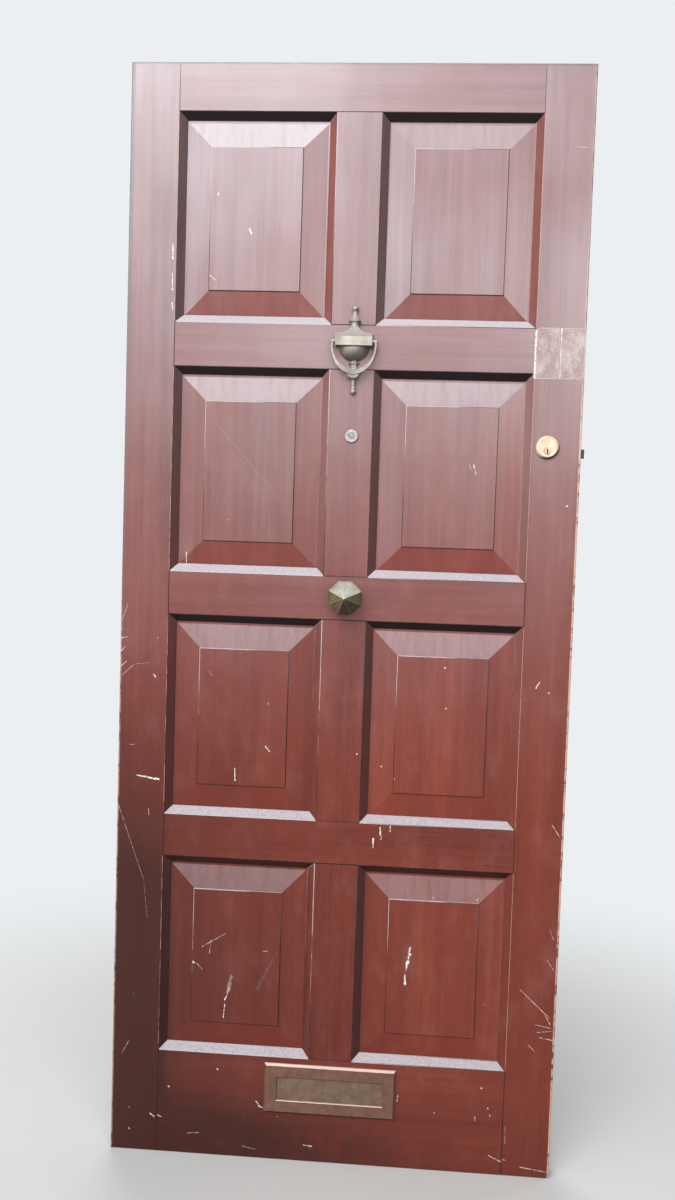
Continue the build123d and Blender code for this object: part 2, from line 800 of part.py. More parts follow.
def make_cylinder_body():
    """Cylinder housing bored off centre for the plug and tapped for the two connecting screws."""
    face = front - ring_reach + plug_face
    body = rod(cylinder_radius, face, cylinder_back, cylinder_x, cylinder_height)
    body -= rod(plug_radius + running_fit, face - 1, cylinder_back + 1, cylinder_x, latch_z)
    for x in connector_places():
        start = cylinder_back - connector_bite
        body -= rod(connector_radius + thread_fit, start, cylinder_back + 1, x, cylinder_height)
    return body


def connector_places():
    return (cylinder_x - connector_spacing, cylinder_x + connector_spacing)


def make_cylinder_plug():
    """Plug with its keyway and a slot at the inner end for the tailpiece."""
    face = front - ring_reach
    plug = rod(plug_radius, face, cylinder_back, cylinder_x, latch_z)
    plug = chamfer(plug.edges().group_by(Axis.Y)[0], 0.4)
    half = keyway_width / 2
    plug -= block(cylinder_x - half, cylinder_x + half, face - 1, cylinder_back - tail_bite,
                  latch_z - keyway_height / 2 - 1, latch_z + keyway_height / 2 - 1)
    half = tail_thickness / 2 + thread_fit
    slot_start = cylinder_back - tail_bite + 2
    return plug - block(cylinder_x - half, cylinder_x + half, slot_start, cylinder_back + 1,
                        latch_z - tail_width / 2 - thread_fit, latch_z + tail_width / 2 + thread_fit)


def make_cylinder_tailpiece():
    """Flat drive bar from the plug through the stile to the latch."""
    half = tail_thickness / 2
    bar = block(cylinder_x - half, cylinder_x + half, cylinder_back - tail_bite + 2.2, tail_tip,
                latch_z - tail_width / 2, latch_z + tail_width / 2)
    return chamfer(bar.edges().group_by(Axis.Y)[-1].filter_by(Axis.Z), 0.6)


def make_cylinder_plate():
    """Steel plate that the connecting screws draw the cylinder back to."""
    half = plate_side / 2
    low_y = back
    high_y = back + plate_thickness
    plate = block(cylinder_x - half, cylinder_x + half, low_y, high_y, latch_z - half, latch_z + half)
    plate = fillet(plate.edges().filter_by(Axis.Y), 4)
    plate -= rod(plate_bore, low_y - 1, high_y + 1, cylinder_x, latch_z)
    for x in connector_places():
        plate -= rod(connector_radius + bolt_clearance, low_y - 1, high_y + 1, x, cylinder_height)
    return plate


def make_cylinder_screws():
    screws = []
    seat = back + plate_thickness
    for x in connector_places():
        screw = rod(connector_radius, cylinder_back - connector_bite + 0.5, seat, x, cylinder_height)
        screw += rod(connector_head_radius, seat, seat + connector_head, x, cylinder_height)
        half = connector_head_radius + 1
        screw -= block(x - half, x + half, seat + connector_head - 0.8, seat + connector_head + 1,
                       cylinder_height - 0.5, cylinder_height + 0.5)
        screws.append(screw)
    return Compound(children=screws)


# Rim night latch

case_low_x = half_width - case_width
case_outer = back + case_depth
case_inner = case_outer - case_wall
latch_head_low_y = back + latch_head_setback
latch_head_high_y = latch_head_low_y + latch_head_depth
arm_low_y = latch_head_high_y - latch_arm
finger_reach = latch_throw
latch_head_back_x = half_width - latch_head_length
finger_x = finger_reach * sin(radians(latch_turn / 2))
finger_top = finger_reach + finger_radius


def case_screw_places():
    """The four corners of the case, measured from the cylinder's plug line."""
    places = []
    for x in (half_width - case_width + case_boss_inset, half_width - case_boss_inset):
        for side in both_sides(case_height / 2 - case_boss_inset):
            places.append((x, latch_z + side))
    return places


def snib_tab_span():
    """Along X, the place between the two stops of the bolt's lug."""
    lug_rest = latch_head_back_x + 3
    return lug_rest - latch_throw + snib_lug + snib_gap, lug_rest - snib_gap


def snib_rest_top():
    """Upper edge of the snib's tab while it leaves the bolt free."""
    return latch_z - snib_lug_height / 2 - 1.2 - snib_gap


def make_latch_case():
    """Cast cover, open towards the door, with screw bosses, spring post and a bolt window."""
    half = case_height / 2
    case = block(case_low_x, half_width, back, case_outer, latch_z - half, latch_z + half)
    case = fillet(case.edges().group_by(Axis.Y)[-1] + case.edges().filter_by(Axis.Y), case_arris)
    case -= block(case_low_x + case_wall, half_width - case_wall, back - 1, case_inner,
                  latch_z - half + case_wall, latch_z + half - case_wall)
    for x, z in case_screw_places():
        case += rod(case_boss_radius, back, case_outer - 1, x, z)
    post_x = latch_head_back_x - latch_throw - spring_post - 7
    case += block(post_x, post_x + spring_post, latch_head_low_y + 2, case_inner + 0.5,
                  latch_z - latch_head_height / 2, latch_z + 2)
    head_half = latch_head_height / 2 + latch_fit
    case -= block(half_width - case_wall - 1, half_width + 1, latch_head_low_y - latch_fit,
                  latch_head_high_y + latch_fit, latch_z - head_half, latch_z + head_half)
    case -= rod(spindle_radius + running_fit, case_inner - 1, case_outer + 1, cylinder_x, latch_z)
    for x, z in case_screw_places():
        case -= rod(case_screw_radius + bolt_clearance, back - 1, case_outer + 1, x, z)
        case -= countersink(x, z, 0.2)
    low, high = snib_tab_span()
    middle = (low + high) / 2
    top = snib_rest_top()
    slot_half = snib_tab / 2 + latch_fit
    case -= block(middle - slot_half, middle + slot_half, case_inner - 1, case_outer + 1,
                  top - 7 - latch_fit, top - 1 + snib_travel + latch_fit)
    return case


def countersink(x, z, grow):
    """Cone of a screw head sunk flush with the outside of the case."""
    outward = Plane(origin=(x, case_outer - case_screw_head, z), x_dir=(1, 0, 0), z_dir=(0, 1, 0))
    small = outward * Circle(case_screw_radius + grow)
    large = outward.offset(case_screw_head) * Circle(case_screw_head_radius + grow)
    return loft([small, large], ruled=True)


def make_latch_case_screws():
    screws = []
    start = case_outer - case_screw_length
    for x, z in case_screw_places():
        screw = rod(case_screw_radius, start + 4, case_outer - case_screw_head + 0.1, x, z)
        point = Plane(origin=(x, start + 4, z), x_dir=(1, 0, 0), z_dir=(0, -1, 0))
        screw += loft([point * Circle(case_screw_radius), point.offset(4) * Circle(0.3)], ruled=True)
        screw += countersink(x, z, 0)
        half = case_screw_head_radius + 1
        screw -= block(x - half, x + half, case_outer - 0.9, case_outer + 1, z - 0.5, z + 0.5)
        screws.append(screw)
    return Compound(children=screws)


def make_latch_bolt():
    """Bevelled bolt head with the hooked arm that the cam's finger draws back."""
    tip = half_width + latch_throw
    half = latch_head_height / 2
    bolt = block(latch_head_back_x, tip, latch_head_low_y, latch_head_high_y, latch_z - half, latch_z + half)
    nose = make_face(Polyline((tip - latch_bevel, latch_head_low_y - 1), (tip + 1, latch_head_low_y - 1),
                              (tip + 1, latch_head_high_y - 2.5), close=True))
    bolt -= extrude(Plane.XY.offset(latch_z - half - 1) * nose, latch_head_height + 2)
    arm_low = latch_z + finger_top + 1.2
    arm_high = arm_low + 5
    bolt += block(latch_head_back_x, latch_head_back_x + 7, arm_low_y, latch_head_high_y, latch_z, arm_high)
    hook_high_x = cylinder_x + finger_x - finger_radius - finger_clearance
    hook_low_x = hook_high_x - latch_hook
    bolt += block(hook_low_x, latch_head_back_x + 1, arm_low_y, latch_head_high_y, arm_low, arm_high)
    hook_bottom = latch_z + finger_reach * cos(radians(latch_turn / 2)) - hook_overlap
    bolt += block(hook_low_x, hook_high_x, arm_low_y, latch_head_high_y, hook_bottom, arm_high)
    lug_x = latch_head_back_x + 3
    bolt += block(lug_x, lug_x + snib_lug, latch_head_high_y - 1, latch_head_high_y + snib_tab,
                  latch_z - snib_lug_height / 2 - 1.2, latch_z + snib_lug_height / 2)
    return bolt


def make_latch_cam():
    """Hub and finger, slotted for the tailpiece, with the spindle that carries the knob."""
    start = back + plate_thickness + connector_head + 0.6
    cam = rod(cam_radius - 0.6, start, case_inner - 0.5, cylinder_x, latch_z)
    cam += rod(spindle_radius, case_inner - 1, case_outer + turn_gap + 5, cylinder_x, latch_z)
    lean = radians(latch_turn / 2)
    tip_x = cylinder_x + finger_reach * sin(lean)
    tip_z = latch_z + finger_reach * cos(lean)
    low_y = arm_low_y - 0.5
    high_y = latch_head_high_y + 0.5
    arm = Plane(origin=(cylinder_x, low_y, latch_z), x_dir=(1, 0, 0), z_dir=(0, 1, 0))
    shank = Pos(finger_reach / 2, 0) * Rectangle(finger_reach, finger_shank)
    finger = Rot(0, 0, -(90 - latch_turn / 2)) * shank
    cam += extrude(arm * finger, high_y - low_y)
    cam += rod(finger_radius, low_y, high_y, tip_x, tip_z)
    half = tail_thickness / 2 + tail_fit
    reach = tail_width / 2 + tail_fit
    return cam - block(cylinder_x - half, cylinder_x + half, start - 1, tail_tip + 0.6,
                       latch_z - reach, latch_z + reach)


def make_latch_turn_knob():
    """Turn with a waisted neck and two flat grips."""
    foot = case_outer + turn_gap
    crown = turn_thickness + 10
    outline = [(0, 0), (10, 0), (10, 1.5), (7.5, 3.5), (7.5, 6), (turn_radius, 10)]
    outline += [(turn_radius, crown - 2), (turn_radius - 2, crown), (0, crown)]
    section = Plane(origin=(cylinder_x, foot, latch_z), x_dir=(1, 0, 0), z_dir=(0, 0, 1))
    turned = section * make_face(Polyline(*outline, close=True))
    knob = revolve(turned, Axis((cylinder_x, foot, latch_z), (0, 1, 0)))
    for side in both_sides(1):
        ends = sorted((cylinder_x + side * turn_radius * 0.42, cylinder_x + side * (turn_radius + 1)))
        knob -= block(ends[0], ends[1], foot + 8, foot + crown + 1, latch_z - 30, latch_z + 30)
    return knob - rod(spindle_radius + thread_fit, foot - 1, case_outer + turn_gap + 5.1, cylinder_x, latch_z)


def coil_line(radius, turns, length, base):
    """Helix along X; it starts at the top and winds towards the street."""
    return Helix(pitch=length / turns, height=length, radius=radius, center=base, direction=(1, 0, 0))


def wire_along(path, thickness):
    """Spring wire on a helix."""
    start = Plane(origin=path @ 0, x_dir=(1, 0, 0), z_dir=path % 0)
    return sweep(start * RegularPolygon(thickness / 2, 6), path=path, is_frenet=True)


def wire_leg(thickness, foot, tip):
    """Straight end of a spring wire."""
    line = Line(foot, tip)
    return sweep(Plane(origin=line @ 0, z_dir=line % 0) * Circle(thickness / 2), path=line)


def make_latch_spring():
    """Compression spring between the post in the case and the back of the bolt head."""
    start = latch_head_back_x - latch_throw - 7
    end = latch_head_back_x
    clear = latch_spring_wire + joint_fit
    base = (start + clear / 2, latch_head_low_y + latch_head_depth / 2, latch_z - 3)
    path = coil_line(latch_spring_radius, latch_spring_turns, end - start - clear, base)
    return wire_along(path, latch_spring_wire)


def make_latch_snib():
    """Sliding button whose inner tab stops the bolt, thrown or held back."""
    low, high = snib_tab_span()
    middle = (low + high) / 2
    top = snib_rest_top()
    inner_face = latch_head_high_y + snib_gap
    snib = block(low, high, inner_face, case_inner - 0.4, top - 8, top)
    snib += block(middle - snib_tab / 2, middle + snib_tab / 2, case_inner - 1, case_outer + 1,
                  top - 7, top - 1)
    button_start = case_outer + 0.4
    button = rod(snib_button_radius, button_start, button_start + snib_button, middle, top - 4)
    return snib + fillet(button.edges().group_by(Axis.Y)[-1], 1.2)


# Letter plate

aperture_top = letter_height + aperture_height / 2
aperture_bottom = letter_height - aperture_height / 2
flap_pin_z = aperture_top + flap_pin_rise
flap_front = front - letter_thickness + flap_setback
flap_back = flap_front + flap_thickness
flap_pin_y = flap_back + 1.2
flap_half = aperture_width / 2 + flap_overlap
flap_bottom = aperture_bottom - flap_overlap
lug_start = flap_half + flap_gap
slot_half = lug_start + lug_thickness + slot_gap
slot_low = flap_bottom - slot_gap - 2.0
slot_high = flap_pin_z + lug_radius + slot_gap


def letter_bolt_places():
    reach = letter_width / 2 - letter_bolt_inset
    return (letter_x - reach, letter_x + reach)


def letter_slot():
    """Hole through the bottom rail behind the letter plate."""
    return block(letter_x - slot_half, letter_x + slot_half, front - 1, back + 1, slot_low, slot_high)


def letter_bolt_holes():
    radius = letter_bolt_radius + bolt_clearance
    return [rod(radius, front - 1, back + 1, x, letter_height) for x in letter_bolt_places()]


def make_letter_plate():
    """Bevel-edged plate, rebated behind for the flap, with lugs for the pin and two bolt bosses."""
    low = front - letter_thickness
    half = letter_width / 2
    plate = block(letter_x - half, letter_x + half, low, front,
                  letter_height - letter_depth / 2, letter_height + letter_depth / 2)
    plate = chamfer(plate.faces().sort_by(Axis.Y)[0].edges(), letter_edge)
    plate -= block(letter_x - aperture_width / 2, letter_x + aperture_width / 2, low - 1, front + 1,
                   aperture_bottom, aperture_top)
    mouth = plate.faces().sort_by(Axis.Y)[0].inner_wires()[0]
    plate = chamfer(mouth.edges(), aperture_edge)
    pocket = flap_half + flap_gap
    plate -= block(letter_x - pocket, letter_x + pocket, flap_front - flap_gap / 2, front + 1,
                   flap_bottom - flap_gap, flap_pin_z + knuckle_radius + flap_gap)
    for side in both_sides(1):
        ends = sorted((letter_x + side * lug_start, letter_x + side * (lug_start + lug_thickness)))
        plate += cross_rod(lug_radius, ends[0], ends[1], flap_pin_y, flap_pin_z)
        plate += block(ends[0], ends[1], front - 1, flap_pin_y,
                       flap_pin_z - lug_radius, flap_pin_z + lug_radius)
    bore = flap_pin_radius + thread_fit
    plate -= cross_rod(bore, letter_x - slot_half, letter_x + slot_half, flap_pin_y, flap_pin_z)
    for x in letter_bolt_places():
        plate -= rod(letter_bolt_radius + thread_fit, front - letter_bolt_bite, front + 1, x, letter_height)
    return plate


def make_letter_flap():
    """Flap with a rolled knuckle, gapped in the middle for its spring."""
    flap = block(letter_x - flap_half, letter_x + flap_half, flap_front, flap_back, flap_bottom, flap_pin_z)
    flap += cross_rod(knuckle_radius, letter_x - flap_half, letter_x + flap_half, flap_pin_y, flap_pin_z)
    flap = flap & block(letter_x - flap_half, letter_x + flap_half, flap_front, back, 0, leaf_height)
    gap = flap_spring_length / 2 + 1.5
    flap -= block(letter_x - gap, letter_x + gap, flap_back - 0.8, back, flap_pin_z - 5.5, flap_pin_z + 5)
    flap -= block(letter_x - gap, letter_x + gap, flap_front - 1, back, flap_pin_z - 4.0, flap_pin_z + 5)
    bore = flap_pin_radius + running_fit
    return flap - cross_rod(bore, letter_x - slot_half, letter_x + slot_half, flap_pin_y, flap_pin_z)


def make_letter_flap_pin():
    reach = lug_start + lug_thickness
    return cross_rod(flap_pin_radius, letter_x - reach, letter_x + reach, flap_pin_y, flap_pin_z)


def make_letter_flap_spring():
    """Torsion spring on the pin with one leg under the top of the slot and one behind the flap."""
    radius = flap_pin_radius + flap_spring_wire / 2 + flap_spring_gap
    base = (letter_x - flap_spring_length / 2, flap_pin_y, flap_pin_z)
    path = coil_line(radius, flap_spring_turns, flap_spring_length, base)
    spring = wire_along(path, flap_spring_wire)
    start = path @ 0
    end = path @ 1
    seat_z = slot_high - flap_spring_wire / 2 - joint_fit
    spring += wire_leg(flap_spring_wire, start, (start.X, start.Y + flap_spring_leg, seat_z))
    lean = flap_spring_leg * flap_spring_lean
    return spring + wire_leg(flap_spring_wire, end, (end.X, end.Y + lean, end.Z - flap_spring_leg))


def make_letter_plate_bolts():
    tip = front - letter_bolt_bite + 0.4
    bolts = [through_bolt(letter_bolt_radius, tip, x, letter_height) for x in letter_bolt_places()]
    return Compound(children=bolts)


def make_letter_plate_washers():
    washers = [flat_washer(letter_bolt_radius, x, letter_height) for x in letter_bolt_places()]
    return Compound(children=washers)


# The whole leaf

def make_parts():
    """Every separate piece by name."""
    rails = ("bottom_rail", "lower_rail", "lock_rail", "frieze_rail", "top_rail")
    rail_cuts = {"bottom_rail": [letter_slot()] + letter_bolt_holes(), "lock_rail": [knob_bolt_hole()],
                 "frieze_rail": knocker_bolt_holes()}
    muntin_cuts = {2: knocker_bolt_holes() + [viewer_hole()]}
    parts = {"hinge_stile": make_hinge_stile(), "lock_stile": make_lock_stile()}
    for index, name in enumerate(rails):
        parts[name] = make_rail(index, rail_cuts.get(name, ()))
    for row in range(1, panel_rows + 1):
        parts[f"muntin_{row}"] = make_muntin(row, muntin_cuts.get(row, ()))
        parts[f"panel_{row}_left"] = make_panel(row, -1)
        parts[f"panel_{row}_right"] = make_panel(row, 1)
    parts["knocker_body"] = make_knocker_body()
    parts["knocker_bail"] = make_knocker_bail()
    parts["knocker_pins"] = make_knocker_pins()
    parts["knocker_bolts"] = make_knocker_bolts()
    parts["knocker_washers"] = make_knocker_washers()
    parts["viewer_barrel"] = make_viewer_barrel()
    parts["viewer_lens"] = make_viewer_lens()
    parts["viewer_sleeve"] = make_viewer_sleeve()
    parts["viewer_eyepiece"] = make_viewer_eyepiece()
    parts["centre_knob"] = make_centre_knob()
    parts["knob_bolt"] = make_knob_bolt()
    parts["knob_washer"] = make_knob_washer()
    parts["cylinder_ring"] = make_cylinder_ring()
    parts["cylinder_body"] = make_cylinder_body()
    parts["cylinder_plug"] = make_cylinder_plug()
    parts["cylinder_tailpiece"] = make_cylinder_tailpiece()
    parts["cylinder_plate"] = make_cylinder_plate()
    parts["cylinder_screws"] = make_cylinder_screws()
    parts["latch_case"] = make_latch_case()
    parts["latch_case_screws"] = make_latch_case_screws()
    parts["latch_bolt"] = make_latch_bolt()
    parts["latch_cam"] = make_latch_cam()
    parts["latch_turn_knob"] = make_latch_turn_knob()
    parts["latch_spring"] = make_latch_spring()
    parts["latch_snib"] = make_latch_snib()
    parts["letter_plate"] = make_letter_plate()
    parts["letter_flap"] = make_letter_flap()
    parts["letter_flap_pin"] = make_letter_flap_pin()
    parts["letter_flap_spring"] = make_letter_flap_spring()
    parts["letter_plate_bolts"] = make_letter_plate_bolts()
    parts["letter_plate_washers"] = make_letter_plate_washers()
    return parts


os.makedirs("parts", exist_ok=True)
for name, shape in make_parts().items():
    export_step(shape, f"parts/{name}.step")
    print(name, len(shape.solids()), round(shape.volume))
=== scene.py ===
# %% [markdown]
# # An old panelled front door
#
# The frame from CAD gives every piece its place and its size. This lesson dresses that
# frame: the arrises of the wood are eased, the stain, dust and scratches of the varnish
# become materials, and each metal fitting gets the tarnish that it has on the real door.

# %% Load the frame
import json
import math
import random

import bmesh
import bpy
from mathutils import Matrix, Vector


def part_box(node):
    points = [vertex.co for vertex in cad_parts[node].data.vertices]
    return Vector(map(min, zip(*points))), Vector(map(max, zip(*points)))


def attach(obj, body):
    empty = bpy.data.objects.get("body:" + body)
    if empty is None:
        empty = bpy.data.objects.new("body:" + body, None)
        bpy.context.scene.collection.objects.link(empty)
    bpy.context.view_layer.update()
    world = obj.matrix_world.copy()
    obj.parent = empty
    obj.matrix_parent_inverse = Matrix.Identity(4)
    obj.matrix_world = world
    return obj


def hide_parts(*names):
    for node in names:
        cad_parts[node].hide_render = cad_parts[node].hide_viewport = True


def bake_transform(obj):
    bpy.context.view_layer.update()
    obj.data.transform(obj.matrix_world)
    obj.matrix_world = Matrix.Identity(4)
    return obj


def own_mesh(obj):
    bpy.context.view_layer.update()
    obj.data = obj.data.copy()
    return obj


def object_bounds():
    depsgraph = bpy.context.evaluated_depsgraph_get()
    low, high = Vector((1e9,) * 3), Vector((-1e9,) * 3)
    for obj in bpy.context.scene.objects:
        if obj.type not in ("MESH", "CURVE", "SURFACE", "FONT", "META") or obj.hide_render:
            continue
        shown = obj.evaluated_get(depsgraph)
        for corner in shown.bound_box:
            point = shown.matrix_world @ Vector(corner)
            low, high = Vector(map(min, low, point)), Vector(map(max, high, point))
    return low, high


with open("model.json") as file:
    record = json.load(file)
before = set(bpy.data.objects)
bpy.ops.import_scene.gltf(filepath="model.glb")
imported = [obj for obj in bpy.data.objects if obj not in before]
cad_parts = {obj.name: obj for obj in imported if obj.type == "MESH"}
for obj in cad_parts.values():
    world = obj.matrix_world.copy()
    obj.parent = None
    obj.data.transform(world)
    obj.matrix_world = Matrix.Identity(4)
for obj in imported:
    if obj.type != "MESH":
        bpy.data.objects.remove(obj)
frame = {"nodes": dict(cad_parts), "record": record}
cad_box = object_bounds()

nodes = frame["nodes"]
scene = bpy.context.scene
millimetre = 0.001
cad_low, cad_high = cad_box
print("pieces from CAD:", len(nodes))

# %% [markdown]
# ## The camera
#
# The photograph was taken from a little right of the door's middle, a shade lower than
# the viewer, with the camera tipped down and not quite level. A camera could be aimed
# with a constraint, but three plain turns keep the small roll, so they are used here:
# roll about the lens, tilt from looking straight down, and swing about the upright. The
# lens is as long as the film is high.

# %% Place the camera
eye = Vector((0.1467, -2.1615, 1.1847))
swing = math.radians(4.262)
tilt = math.radians(86.215)
roll = math.radians(1.830)

camera = bpy.data.objects.new("camera", bpy.data.cameras.new("camera"))
camera.data.sensor_width = 36.0
camera.data.lens = camera.data.sensor_width
camera.matrix_world = (Matrix.Translation(eye) @ Matrix.Rotation(swing, 4, "Z")
                       @ Matrix.Rotation(tilt, 4, "X") @ Matrix.Rotation(roll, 4, "Z"))
scene.collection.objects.link(camera)
scene.camera = camera
scene.view_settings.view_transform = "Standard"
print("camera is", round((eye - (cad_low + cad_high) / 2).length, 2), "m from the door's middle")

# %% [markdown]
# ## Floor, world and lamps
#
# Varnish shows what stands in front of it, so the lamps are wide panels, like the sky
# seen past a roof. Two high ones behind the camera wash out the top of the door, one
# overhead brightens whatever faces up, and one at each side gives every moulding a lit
# face and a darker one. A weak pair lights the back for the other views.

# %% Floor and world
class Backdrop:
    world_pale = (0.84, 0.86, 0.88, 1.0)
    fill = (0.74, 0.80, 0.90, 1.0)
    fill_strength = 0.24
    half_width = 7.0
    under_door = 0.3 * millimetre


floor_mesh = bmesh.new()
bmesh.ops.create_grid(floor_mesh, x_segments=1, y_segments=1, size=Backdrop.half_width)
bmesh.ops.translate(floor_mesh, verts=floor_mesh.verts, vec=(0, 0, cad_low.z - Backdrop.under_door))
floor = bpy.data.objects.new("floor", bpy.data.meshes.new("floor"))
floor_mesh.to_mesh(floor.data)
floor_mesh.free()
scene.collection.objects.link(floor)

world = bpy.data.worlds.new("plain_sky")
world.use_nodes = True
scene.world = world
sky = world.node_tree
sky.nodes.clear()


def sky_node(kind, inputs, operation=None):
    """Add a node to the world; its inputs are constants or other nodes' outputs."""
    made = sky.nodes.new(kind)
    if operation:
        made.operation = operation
    for key, value in inputs.items():
        if isinstance(value, bpy.types.NodeSocket):
            sky.links.new(value, made.inputs[key])
        else:
            made.inputs[key].default_value = value
    return made.outputs[0] if made.outputs else None


# The camera, the lens and the varnish see the pale backdrop, and all else gets the dim fill
rays = sky.nodes.new("ShaderNodeLightPath").outputs
pale_sky = sky_node("ShaderNodeBackground", {"Color": Backdrop.world_pale, "Strength": 1.0})
fill_sky = sky_node("ShaderNodeBackground", {"Color": Backdrop.fill, "Strength": Backdrop.fill_strength})
straight = sky_node("ShaderNodeMath", {0: rays["Is Camera Ray"], 1: rays["Is Transmission Ray"]}, "MAXIMUM")
shown = sky_node("ShaderNodeMath", {0: straight, 1: rays["Is Glossy Ray"]}, "MAXIMUM")
mixed_sky = sky_node("ShaderNodeMixShader", {0: shown, 1: fill_sky, 2: pale_sky})
sky_node("ShaderNodeOutputWorld", {"Surface": mixed_sky})
print("world nodes:", len(sky.nodes))


# %% Lamps
def panel_lamp(name, place, target, width, height, radiance, tint=(1.0, 1.0, 1.0)):
    """Flat lamp whose face shines at the radiance given, whatever its size."""
    data = bpy.data.lights.new(name, "AREA")
    data.shape = "RECTANGLE"
    data.size = width
    data.size_y = height
    data.energy = radiance * math.pi * width * height
    data.color = tint
    lamp = bpy.data.objects.new(name, data)
    lamp.location = place
    aim = Vector(target) - Vector(place)
    lamp.rotation_euler = aim.to_track_quat("-Z", "Y").to_euler()
    lamp.visible_camera = False
    scene.collection.objects.link(lamp)
    return lamp


panel_lamp("key_sky", (-0.5, -2.3, 3.4), (0.0, 0.0, 1.2), 2.0, 1.3, 6.8, (0.97, 0.985, 1.0))
panel_lamp("glare_sky", (-1.35, -3.4, 3.0), (0.0, 0.0, 1.5), 2.9, 1.1, 4.9, (0.95, 0.98, 1.0))
panel_lamp("low_sky", (0.5, -3.6, 1.95), (0.1, 0.0, 1.2), 3.0, 1.0, 2.9)
panel_lamp("left_window", (-2.9, -1.9, 1.7), (0.0, 0.0, 0.9), 1.2, 1.8, 3.3, (1.0, 0.97, 0.93))
panel_lamp("right_sky", (1.4, -3.0, 2.2), (0.2, 0.0, 0.9), 1.2, 1.2, 5.4, (1.0, 0.98, 0.96))
panel_lamp("back_high", (-0.8, 2.6, 3.0), (0.0, 0.0, 1.2), 2.4, 1.6, 4.5)
panel_lamp("back_right", (2.6, 1.8, 1.8), (0.0, 0.0, 1.0), 1.2, 1.6, 1.9)

# %% [markdown]
# ## Sums that become shader nodes
#
# A material's pattern is arithmetic on places. It could be wired by hand, but sums are
# easier to read, so `Value` wraps a node's output and its operators add Math nodes.
# `Finish` holds one material and adds every other node through a single method.

# %% Values and finishes
class Value:
    """A node's output that can stand in a Python sum."""

    def __init__(self, finish, socket):
        self.finish = finish
        self.socket = socket

    def __add__(self, other):
        return self.finish.math("ADD", self, other)

    def __radd__(self, other):
        return self.finish.math("ADD", other, self)

    def __sub__(self, other):
        return self.finish.math("SUBTRACT", self, other)

    def __rsub__(self, other):
        return self.finish.math("SUBTRACT", other, self)

    def __mul__(self, other):
        return self.finish.math("MULTIPLY", self, other)

    def __rmul__(self, other):
        return self.finish.math("MULTIPLY", other, self)

    def __truediv__(self, other):
        return self.finish.math("DIVIDE", self, other)

    def __rtruediv__(self, other):
        return self.finish.math("DIVIDE", other, self)

    def __abs__(self):
        return self.finish.math("ABSOLUTE", self)


class Finish:
    """One material: its shader, and the nodes behind it."""

    def __init__(self, name):
        self.material = bpy.data.materials.new(name)
        self.material.use_nodes = True
        self.tree = self.material.node_tree
        self.tree.nodes.clear()
        self.shader = self.tree.nodes.new("ShaderNodeBsdfPrincipled")
        self.out = self.tree.nodes.new("ShaderNodeOutputMaterial")
        self.tree.links.new(self.shader.outputs["BSDF"], self.out.inputs["Surface"])
        self.place = self.node("ShaderNodeTexCoord", output="Object")

    def node(self, kind, output=0, settings=None, inputs=None):
        """Add a node: settings first, then constants and links by socket name or number."""
        made = self.tree.nodes.new(kind)
        for name, value in (settings or {}).items():
            setattr(made, name, value)
        for key, value in (inputs or {}).items():
            self.feed(made.inputs[key], value)
        return Value(self, made.outputs[output])

    def feed(self, socket, value):
        if isinstance(value, Value):
            self.tree.links.new(value.socket, socket)
        else:
            socket.default_value = value

    def math(self, operation, *terms):
        return self.node("ShaderNodeMath", settings={"operation": operation}, inputs=dict(enumerate(terms)))

    def vector(self, operation, *terms, output=0, scale=None):
        inputs = dict(enumerate(terms))
        if scale is not None:
            inputs["Scale"] = scale
        return self.node("ShaderNodeVectorMath", output, {"operation": operation}, inputs)

    def scaled(self, factors, shift=(0, 0, 0)):
        """The place, moved by shift and then multiplied by one factor for each axis."""
        return self.vector("MULTIPLY", self.vector("ADD", self.place, shift), factors)

    def noise(self, place, detail, roughness, distortion=0.0):
        return self.node("ShaderNodeTexNoise", "Fac", inputs={
            "Vector": place, "Scale": 1.0, "Detail": detail, "Roughness": roughness,
            "Distortion": distortion})

    def step(self, value, low, high, start=0.0, end=1.0):
        """Smooth change from start to end as the value goes from low to high."""
        return self.node("ShaderNodeMapRange", settings={"interpolation_type": "SMOOTHSTEP"}, inputs={
            "Value": value, "From Min": low, "From Max": high, "To Min": start, "To Max": end})

    def mix(self, share, first, second):
        """Colour that goes from first to second as share goes from 0 to 1."""
        return self.node("ShaderNodeMix", 2, {"data_type": "RGBA"}, {"Factor": share, 6: first, 7: second})

    def axis(self, name, place=None):
        return self.node("ShaderNodeSeparateXYZ", "XYZ".index(name), inputs={0: place or self.place})

    def facing(self, name):
        """How far the surface faces along an axis, from -1 to 1; it turns with a piece that swings."""
        return self.axis(name, self.node("ShaderNodeTexCoord", "Normal"))

    def bump(self, height, depth):
        return self.node("ShaderNodeBump", inputs={"Strength": 1.0, "Distance": depth, "Height": height})

    def finish(self, colour, roughness, normal=None, **plain):
        """Feed the shader; plain values go on its own sockets."""
        self.feed(self.shader.inputs["Base Color"], colour)
        self.feed(self.shader.inputs["Roughness"], roughness)
        if normal is not None:
            self.feed(self.shader.inputs["Normal"], normal)
        for name, value in plain.items():
            self.feed(self.shader.inputs[name.replace("_", " ")], value)
        return self.material


def rgb(red, green, blue):
    """Colour from the 0 to 255 values of a paint chart, made linear for the shader."""
    shares = (red / 255, green / 255, blue / 255)
    return tuple(((s + 0.055) / 1.055) ** 2.4 if s > 0.04045 else s / 12.92 for s in shares) + (1.0,)
